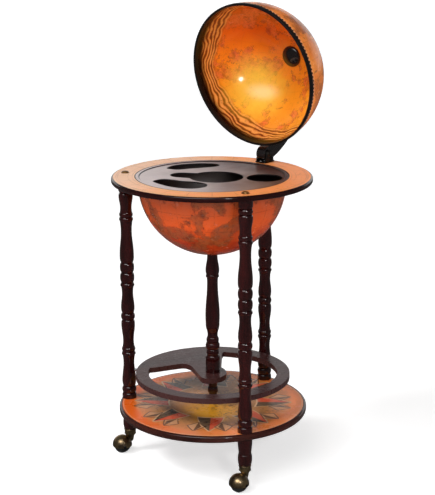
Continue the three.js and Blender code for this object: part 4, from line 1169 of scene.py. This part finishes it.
@dataclass
class GlobeLid:
    """The upper half of the globe, open on its hinge, with its rim band, cap and finial."""

    at: LidFrame
    radius: float = 0.166
    wall: float = 0.003
    bore: float = 0.0043
    band_lips: Point = (0.012, 0.0085)
    band_seat: float = 0.005
    band_proud: float = 0.0012
    band_play: float = 0.0001
    cap_radius: float = 0.025
    cap_seat: float = 0.0215
    cap_rim: float = 0.0015
    spacer_radius: float = 0.014
    soft: float = 0.0006
    finial_radius: float = 0.012

    def build(self) -> None:
        """Makes the shell, the band and the fittings of the pole."""
        self.shell()
        self.band()
        self.fittings()

    def dress(self, name: str, outline: list[Point], finish: Finish, slot: str, node: str,
              sides: int = TURNED_SIDES, closed: bool = True) -> bpy.types.Object:
        """Turns an outline about the pole's axis.

        Args:
            name: The piece's name.
            outline: The outline, as (radius, height above the rim).
            finish: What it is made of.
            slot: The record's material slot.
            node: The CAD node that it stands for.
            sides: Facets round the piece.
            closed: Whether the outline's last point joins its first.

        Returns:
            The piece's object.
        """
        blank = Blank().spun(outline, sides, closed).moved(self.at.matrix)
        return blank.piece(name, "lid", finish, slot, node)

    def shell(self) -> None:
        """A thin half ball with one print outside and another inside."""
        foot, inner = self.band_seat + 0.0002, self.radius - self.wall
        start, end = ([turn(part / ball) for ball in (self.radius, inner)]
                      for turn, part in ((math.asin, foot), (math.acos, self.bore)))
        outline = arc((0, 0), self.radius, start[0], end[0], 44) + arc((0, 0), inner, end[1], start[1], 44)
        centre, turn, z = tuple(self.at.centre), self.at.turn, self.at.centre.z
        outside = GlobePrint(
            "lid_print_outside", centre, turn, self.radius, sea=((0.8, 0.19, 0.03), (0.97, 0.31, 0.055)),
            land=((0.25, 0.08, 0.025), (0.48, 0.12, 0.03), (0.16, 0.05, 0.02)), ink=(0.05, 0.014, 0.008),
            shore=0.505, scale_band=True, coat=0.1)
        # inside the lid: the print's orange and yellow, with painted shade darkening it towards the top
        tone_and_shade_by_height = ((-0.17, (0.7, 0.25, 0.03)), (-0.06, (0.95, 0.33, 0.015)), (0.02, (0.98, 0.24, 0.008)),
                (0.09, (0.8, 0.075, 0.003)), (0.17, (0.4, 0.02, 0.003)))
        inside = GlobePrint(
            "lid_print_inside", centre, turn @ Matrix.Rotation(3.77, 3, "Z"), inner,
            sea=((0.85, 0.18, 0.01), (0.95, 0.3, 0.02)),
            land=((0.42, 0.05, 0.012), (0.84, 0.16, 0.04), (0.26, 0.02, 0.007)), ink=(0.1, 0.022, 0.008),
            tone_and_shade_by_height=tuple((z + rise, tone) for rise, tone in tone_and_shade_by_height),
            # painted glare inside the lid: a pale golden patch where the lamps' reflection lies
            painted_glare=((0.108, 0.26, z - 0.05), 0.125, (1.0, 0.6, 0.06)), net=0.12, grain=3.1, shore=0.515,
            crowd=(z + 0.06, z + 0.14, 0.08), waves=6, coat=0.5, specular=0.12)
        obj = self.dress("globe_lid", outline, outside, "lid_shell", "lid_shell", ROUND_SIDES)
        painted(obj, inside, lambda f: (f.center - self.at.centre).length < self.radius - self.wall / 2)

    def band(self) -> None:
        """The black hoop that grips the lid's rim, with a lip inside and one outside."""
        soft = self.band_proud
        inner, outer = self.radius - self.wall - soft, self.radius + soft
        inner_lip, outer_lip = self.band_lips
        over, under = self.radius + self.band_play, self.radius - self.wall - self.band_play
        faces = ((over, outer_lip), (over, self.band_seat), (under, self.band_seat), (under, inner_lip))
        outline = [
            *arc((inner + soft, soft), soft, math.pi, 1.5 * math.pi, 4),
            *arc((outer - soft, soft), soft, -QUARTER, 0, 4),
            *arc((outer - soft, outer_lip - soft), soft, 0, QUARTER, 4),
            *((math.sqrt(ball ** 2 - z ** 2), z) for ball, z in faces),
            (inner + 0.0002, inner_lip), (inner, inner_lip - 0.0003),
        ]
        self.dress("lid_band", outline, RIM_BLACK, "black_lacquer", "lid_rim_band", ROUND_SIDES)

    def fittings(self) -> None:
        """The dome inside the pole, and the spacer and the finial outside it."""
        foot, seat = self.at.span("inner_cap")
        deep = seat - self.cap_rim - foot
        curve = [(self.cap_radius * math.cos(a) ** 1.1, seat - self.cap_rim - deep * math.sin(a))
                 for a in (QUARTER * step / 12 for step in range(12))]
        cap = [(0, seat), (self.cap_seat, seat), (self.cap_radius, seat - self.soft), *curve, (0, foot)]
        self.dress("pole_dome", cap, BLACK_LACQUER, "black_plastic", "inner_cap", 72, False)
        low, high = self.at.span("pole_spacer")
        radius, soft = self.spacer_radius, self.soft
        spacer = [(self.bore, low), (radius - soft, low), (radius, low + soft), (radius, high - soft),
                  (radius - soft, high), (self.bore, high)]
        self.dress("spacer_ring", spacer, BLACK_LACQUER, "black_lacquer", "pole_spacer")
        low, high = self.at.span("finial")
        finial = [(0, low), *turned_outline(FINIAL, self.finial_radius, low, high)]
        self.dress("pole_finial", finial, BRASS, "brass", "finial", closed=False)


@dataclass
class MeridianArm:
    """The curved arm from the hinge to the pole."""

    at: LidFrame
    width: float = 0.033
    thickness: float = 0.022
    soft: float = 0.0024

    def build(self) -> None:
        """Draws the arm's side, gives it its thickness and rounds its edges."""
        out, lift = self.at.pivot
        start, radius, half = math.atan2(lift, out), math.hypot(out, lift), self.width / 2
        outline = [
            *arc((0, 0), radius + half, start, QUARTER, 60),
            *arc((0, radius), half, QUARTER, 3 * QUARTER, 20)[1:-1],
            *arc((0, 0), radius - half, QUARTER, start, 60),
            *arc((out, lift), half, start + math.pi, start + WHOLE, 20)[1:-1],
        ]
        blank = Blank().board([outline], -self.thickness / 2, self.thickness / 2).softened(self.soft, 4)
        blank.moved(self.at.matrix @ Matrix.Rotation(QUARTER, 4, "X")).piece(
            "meridian_bow", "lid", BLACK_LACQUER, "black_lacquer", "meridian_arm", flats=True)


@dataclass
class Hinge:
    """The bracket on the ring, its pin and its two screws."""

    soft: float = 0.0006
    pin_radius: float = 0.004
    pin_head: float = 0.006
    pin_head_height: float = 0.002
    screw_radius: float = 0.0019
    screw_head: float = 0.0034
    screw_head_height: float = 0.0018
    slot: Triple = (0.0042, 0.0007, 0.0012)

    def build(self) -> None:
        """Softens a copy of the bracket, and turns the pin and the screws."""
        mesh = (blank := Blank()).mesh
        mesh.from_mesh(frame["nodes"]["hinge_bracket"].data)
        bmesh.ops.remove_doubles(mesh, verts=mesh.verts, dist=1e-5)
        bmesh.ops.dissolve_limit(mesh, angle_limit=math.radians(1), verts=mesh.verts, edges=mesh.edges)
        blank.softened(self.soft, 2, 60).piece(
            "bracket", "root", BLACK_METAL, "black_metal", "hinge_bracket", flats=True)
        self.pin()
        for side in ("inner", "outer"):
            self.screw(side)

    def pin(self) -> None:
        """A plain pin with a domed head at either end."""
        node = "hinge_pin"
        axis = Vector(next(j for j in frame["joints"] if j["name"] == "lid_hinge")["axis"]).normalized()
        along = places(node) @ np.array(axis)
        seat = float(along.max() - along.min()) / 2 - self.pin_head_height
        side = [(self.pin_radius, 0), (self.pin_radius, seat), (self.pin_head, seat),
                *dome(self.pin_head, seat, self.pin_head_height, 0.3)]
        turn = Vector((0, 0, 1)).rotation_difference(axis).to_matrix().to_4x4()
        Blank().spun(mirrored(side)).moved(Matrix.Translation(middle(node)) @ turn).piece(
            "pivot_pin", "root", BLACK_METAL, "steel", node)

    def screw(self, side: str) -> None:
        """A screw with a domed head and a cross slot."""
        node = "bracket_screw_" + side
        low, top = foot_of(node), top_of(node)
        seat = top - self.screw_head_height
        outline = [(0, low), (self.screw_radius, low), (self.screw_radius, seat), (self.screw_head, seat),
                   *dome(self.screw_head, seat, self.screw_head_height, 0.2)]
        long, narrow, deep = self.slot
        cuts = []
        for size in ((narrow, long, deep), (long, narrow, deep)):
            cuts.append(("DIFFERENCE", slot := Blank()))
            place = Matrix.Translation((0, 0, top)) @ Matrix.Diagonal((*size, 1))
            bmesh.ops.create_cube(slot.mesh, size=1, matrix=place)
        Blank().spun(outline, 24).carved(*cuts).moved(upright_at(node)).piece(
            "cross_screw_" + side, "root", STEEL, "steel", node)


@dataclass
class BallCasters:
    """A cup on each foot, and a hooded ball wheel that swivels under it."""

    cup_radius: float = 0.0144
    cup_bore: float = 0.012
    cup_wall: float = 0.0022
    cup_bead: float = 0.0014
    cup_lip: float = 0.0016
    stem_radius: float = 0.004
    play: float = 0.0003
    collar_radius: float = 0.011
    collar_height: float = 0.0027
    collar_gap: float = 0.0002
    collar_soft: float = 0.0006
    neck: tuple[Point, ...] = ((0.62, 0.35), (0.74, 0.6), (0.8, 0.84))
    wheel_radius: float = 0.02
    wheel_width: float = 0.032
    wheel_marks: tuple[float, ...] = (0.0062, 0.008, 0.01, 0.012, 0.014, 0.016)
    hood_gap: float = 0.0013
    hood_wall: float = 0.0015
    wheel_tread: float = 0.005
    wheel_groove: tuple[float, ...] = (0.0095, 0.009, 0.0055, 0.005)
    groove_depth: float = 0.0012
    hood_skirt: float = 0.003
    hood_soft: float = 0.0004
    axle_radius: float = 0.0025
    axle_head: float = 0.0036
    axle_head_height: float = 0.0014
    axle_lap: float = 0.0002
    trail: float = 0.02

    def build(self) -> None:
        """Makes the three casters."""
        for name in LEGS:
            swivel = upright_at("leg_dowel_" + name)
            axle = middle("caster_axle_" + name)
            heading = axle - swivel.translation
            at_axle = Matrix.Translation(axle) @ Matrix.Rotation(math.atan2(heading.y, heading.x), 4, "Z")
            self.cup(name, swivel)
            self.hood(name, at_axle)
            lying = at_axle @ Matrix.Rotation(QUARTER, 4, "X")
            self.wheel(name, lying)
            self.axle(name, lying)

    def cup(self, name: str, swivel: Matrix) -> None:
        """A turned socket with a rolled lip and a bead."""
        node = "caster_cup_" + name
        low, high = foot_of(node), top_of(node)
        wide, bead, lip, hole = self.cup_radius, self.cup_bead, self.cup_lip, self.stem_radius + self.play
        outline = [
            (hole, low), (wide * 0.86, low), *arc((wide * 0.86, low + bead), bead, -QUARTER, 0, 4),
            (wide * 0.9, low + 0.0045), (wide * 0.93, high - 0.0036),
            *arc((wide - lip, high - lip), lip, -QUARTER, QUARTER, 8),
            (self.cup_bore, high), (self.cup_bore, low + self.cup_wall), (hole, low + self.cup_wall),
        ]
        Blank().spun(outline, closed=True).moved(swivel).piece(
            "socket_cup_" + name, "root", BRONZE, "bronze", node)

    def ball(self, radius: float) -> Blank:
        """A ball about the axle."""
        blank = Blank()
        bmesh.ops.create_uvsphere(blank.mesh, u_segments=48, v_segments=32, radius=radius)
        return blank

    def hood(self, name: str, at_axle: Matrix) -> None:
        """The half ball over the wheel, with the neck and the stem that it swivels on."""
        node, axle_height = "caster_hood_" + name, at_axle.translation.z
        top = top_of(node) - axle_height
        collar_top = foot_of("caster_cup_" + name) - self.collar_gap - axle_height
        foot, collar, soft = collar_top - self.collar_height, self.collar_radius, self.collar_soft
        outline = [
            (0, 0.004), (0.35 * collar, 0.005), *((x * collar, y * foot) for x, y in self.neck),
            (collar - soft, foot), (collar, foot + soft), (collar, collar_top - soft),
            (collar - soft, collar_top), (self.stem_radius, collar_top), (self.stem_radius, top), (0, top),
        ]
        outer = self.wheel_radius + self.hood_gap + self.hood_wall
        stem = Blank().spun(outline).moved(Matrix.Translation((-self.trail, 0, 0)))
        below = Blank()
        bmesh.ops.create_cube(below.mesh, size=4 * outer,
                              matrix=Matrix.Translation((0, 0, -self.hood_skirt - 2 * outer)))
        shell = self.ball(outer).carved(("UNION", stem), ("DIFFERENCE", self.ball(outer - self.hood_wall)),
                                        ("DIFFERENCE", below))
        shell.softened(self.hood_soft, 2, 50).moved(at_axle).piece(
            "ball_hood_" + name, "caster_" + name, BRONZE, "bronze", node)

    def wheel(self, name: str, lying: Matrix) -> None:
        """A ball wheel with a flat tread and a grooved face on either side."""
        half, big = self.wheel_width / 2, self.wheel_radius
        foot = half - self.groove_depth
        side = [(big, self.wheel_tread), *((math.sqrt(big ** 2 - x ** 2), x) for x in self.wheel_marks),
                *zip(self.wheel_groove, (half, foot, foot, half)), (self.axle_radius + self.play, half)]
        Blank().spun(mirrored(side), 64, closed=True).moved(lying).piece(
            "ball_wheel_" + name, "wheel_" + name, WHEEL_BLACK, "wheel_black", "caster_wheel_" + name)

    def axle(self, name: str, lying: Matrix) -> None:
        """The pin through hood and wheel, with riveted ends."""
        half = self.wheel_radius + self.hood_gap + self.hood_wall
        seat = half - self.axle_lap
        side = [(self.axle_radius, seat), (self.axle_head, seat),
                *dome(self.axle_head, half, self.axle_head_height, 0.2, 5)]
        Blank().spun(mirrored(side), 24).moved(lying).piece(
            "axle_pin_" + name, "caster_" + name, BLACK_METAL, "steel", "caster_axle_" + name)


@dataclass
class HiddenFasteners:
    """The bolts, studs and pins inside the bar, which keep their CAD shapes."""

    nodes: tuple[str, ...] = ("post_stud", "post_base_stud", "bowl_bolt", "pole_bolt")
    leg_parts: tuple[str, ...] = ("leg_dowel_", "leg_bolt_", "foot_stud_", "tier_pin_")

    def build(self) -> None:
        """Gives each its steel."""
        for name in (*self.nodes, *(part + leg for part in self.leg_parts for leg in LEGS)):
            slots = frame["nodes"][name].data.materials
            slots.clear()
            slots.append(STEEL.material())
            log.info("%s: steel", name)


@dataclass
class Studio:
    """The floor, the light and the camera."""

    camera_place: Triple = (0, -3.07517, 1.201445)
    pitch: float = 0.25927
    yaw: float = 0.00383
    roll: float = -0.00289
    focal_pixels: float = 1407.76
    long_side: float = 495
    sensor: float = 36
    floor_size: float = 40
    wall_distance: float = 16
    wall_size: Point = (44, 7.5)
    room_light: float = 0.1
    room_white: float = 1.0
    sun_power: float = 1.3
    sun_spread: float = math.radians(14)
    sun_way: Triple = (1, 0.45, -1.25)
    soft_boxes: tuple[tuple[str, Triple, Point, float], ...] = (
        ("key", (-1.0, -2.2, 2.45), (4.8, 2.3), 86), ("low", (0.8, -2.6, 1.4), (0.55, 0.5), 24))
    aim: Triple = (0, 0, 0.35)

    def build(self) -> None:
        """Sets up the studio."""
        self.camera()
        width, height = self.wall_size
        floor = Matrix.Translation((0, 0, CAD_BOX[0][2])) @ Matrix.Scale(self.floor_size, 4)
        wall = (Matrix.Translation((0, self.wall_distance, height / 2)) @ Matrix.Rotation(QUARTER, 4, "X")
                @ Matrix.Diagonal((width / 2, height / 2, 1, 1)))
        self.sheet("floor", floor, "pale_floor", 0.86, 0.9, 0.1, 0.62).visible_glossy = False
        self.sheet("backdrop", wall, "white_wall", 0.8, 1.0, 0.0, 0.35)
        self.lights()

    def camera(self) -> None:
        """A camera at the photograph's view."""
        level = math.cos(self.pitch)
        forward = Vector((math.sin(self.yaw) * level, math.cos(self.yaw) * level, -math.sin(self.pitch)))
        right = Vector((math.cos(self.yaw), -math.sin(self.yaw), 0))
        up = right.cross(forward)
        across = right * math.cos(self.roll) + up * math.sin(self.roll)
        upward = up * math.cos(self.roll) - right * math.sin(self.roll)
        data = bpy.data.cameras.new("camera")
        data.sensor_fit = "AUTO"
        data.sensor_width = self.sensor
        data.lens = self.focal_pixels / self.long_side * self.sensor
        data.clip_end = 200
        turn = Matrix((across, upward, -forward)).transposed().to_4x4()
        bpy.context.scene.camera = self.hung("camera", data, Matrix.Translation(self.camera_place) @ turn)

    def hung(self, name: str, data: bpy.types.ID, matrix: Matrix) -> bpy.types.Object:
        """Puts a lamp or a camera in the scene."""
        obj = bpy.data.objects.new(name, data)
        obj.matrix_world = matrix
        bpy.context.scene.collection.objects.link(obj)
        return obj

    def sheet(self, name: str, matrix: Matrix, paint: str, grey: float, rough: float, specular: float,
              light: float) -> bpy.types.Object:
        """A flat sheet that glows a little, as part of the studio.

        Args:
            name: The sheet's name.
            matrix: What takes a square of two units to its place.
            paint: The material's name.
            grey: The material's brightness.
            rough: Its roughness.
            specular: Its reflection.
            light: Its own light.

        Returns:
            The sheet's object.
        """
        blank = Blank()
        bmesh.ops.create_grid(blank.mesh, x_segments=1, y_segments=1, size=1)
        obj = blank.moved(matrix).object(name)
        g = Graph(paint)
        g.surface(Base_Color=(grey, grey, grey), Roughness=rough, Specular_IOR_Level=specular,
                  Emission_Color=(1, 1, 1), Emission_Strength=light)
        obj.data.materials.append(g.material)
        return obj

    def lights(self) -> None:
        """A pale world, a sun for the shadows and two soft boxes for the gloss."""
        scene = bpy.context.scene
        scene.view_settings.view_transform = "Standard"
        scene.view_settings.look = "None"
        world = bpy.data.worlds.new("white_room")
        scene.world = world
        world.use_nodes = True
        tree = world.node_tree
        path = tree.nodes.new("ShaderNodeLightPath")
        level = tree.nodes.new("ShaderNodeMapRange")
        level.inputs["To Min"].default_value = self.room_light
        level.inputs["To Max"].default_value = self.room_white
        tree.links.new(path.outputs["Is Camera Ray"], level.inputs["Value"])
        tree.links.new(level.outputs[0], tree.nodes["Background"].inputs["Strength"])
        tree.nodes["Background"].inputs["Color"].default_value = (1, 1, 1, 1)
        sun = bpy.data.lights.new("sun", "SUN")
        sun.energy, sun.angle = self.sun_power, self.sun_spread
        shining = Vector(self.sun_way).to_track_quat("-Z", "Y").to_matrix().to_4x4()
        self.hung("sun", sun, shining).visible_glossy = False
        for name, place, size, power in self.soft_boxes:
            self.soft_box(name, place, size, power)

    def soft_box(self, name: str, place: Triple, size: Point, power: float) -> None:
        """A rectangular lamp that looks at the bar's middle and dims from its middle to its sides.

        Args:
            name: The lamp's name.
            place: Where it hangs.
            size: Its width and height.
            power: Its power in watts, before it fades.
        """
        data = bpy.data.lights.new(name, "AREA")
        data.shape = "RECTANGLE"
        data.size, data.size_y = size
        data.energy = power
        data.use_nodes = True
        tree = data.node_tree
        spot = tree.nodes.new("ShaderNodeNewGeometry")
        away = tree.nodes.new("ShaderNodeVectorMath")
        away.operation = "DISTANCE"
        away.inputs[1].default_value = (0.5, 0.5, 0)
        fall = tree.nodes.new("ShaderNodeMapRange")
        fall.interpolation_type = "SMOOTHERSTEP"
        for target, number in zip(fall.inputs[1:5], (0.5, 0, 0, 3)):
            target.default_value = number
        tree.links.new(spot.outputs["Parametric"], away.inputs[0])
        tree.links.new(away.outputs["Value"], fall.inputs[0])
        tree.links.new(fall.outputs[0], tree.nodes["Emission"].inputs["Strength"])
        turn = (Vector(self.aim) - Vector(place)).to_track_quat("-Z", "Y").to_matrix().to_4x4()
        self.hung(name, data, Matrix.Translation(place) @ turn)


def main() -> None:
    """Builds the studio and the bar's pieces in order."""
    logging.basicConfig(level=logging.INFO, format="%(name)s %(message)s")
    lid_frame = LidFrame()
    for part in (Studio(), TurnedLegs(), CentrePost(), Boards(), RingCaps(), GlobeBowl(), ServingTray(),
                 GlobeLid(lid_frame), MeridianArm(lid_frame), Hinge(), BallCasters(), HiddenFasteners()):
        part.build()


if __name__ == "__main__":
    main()
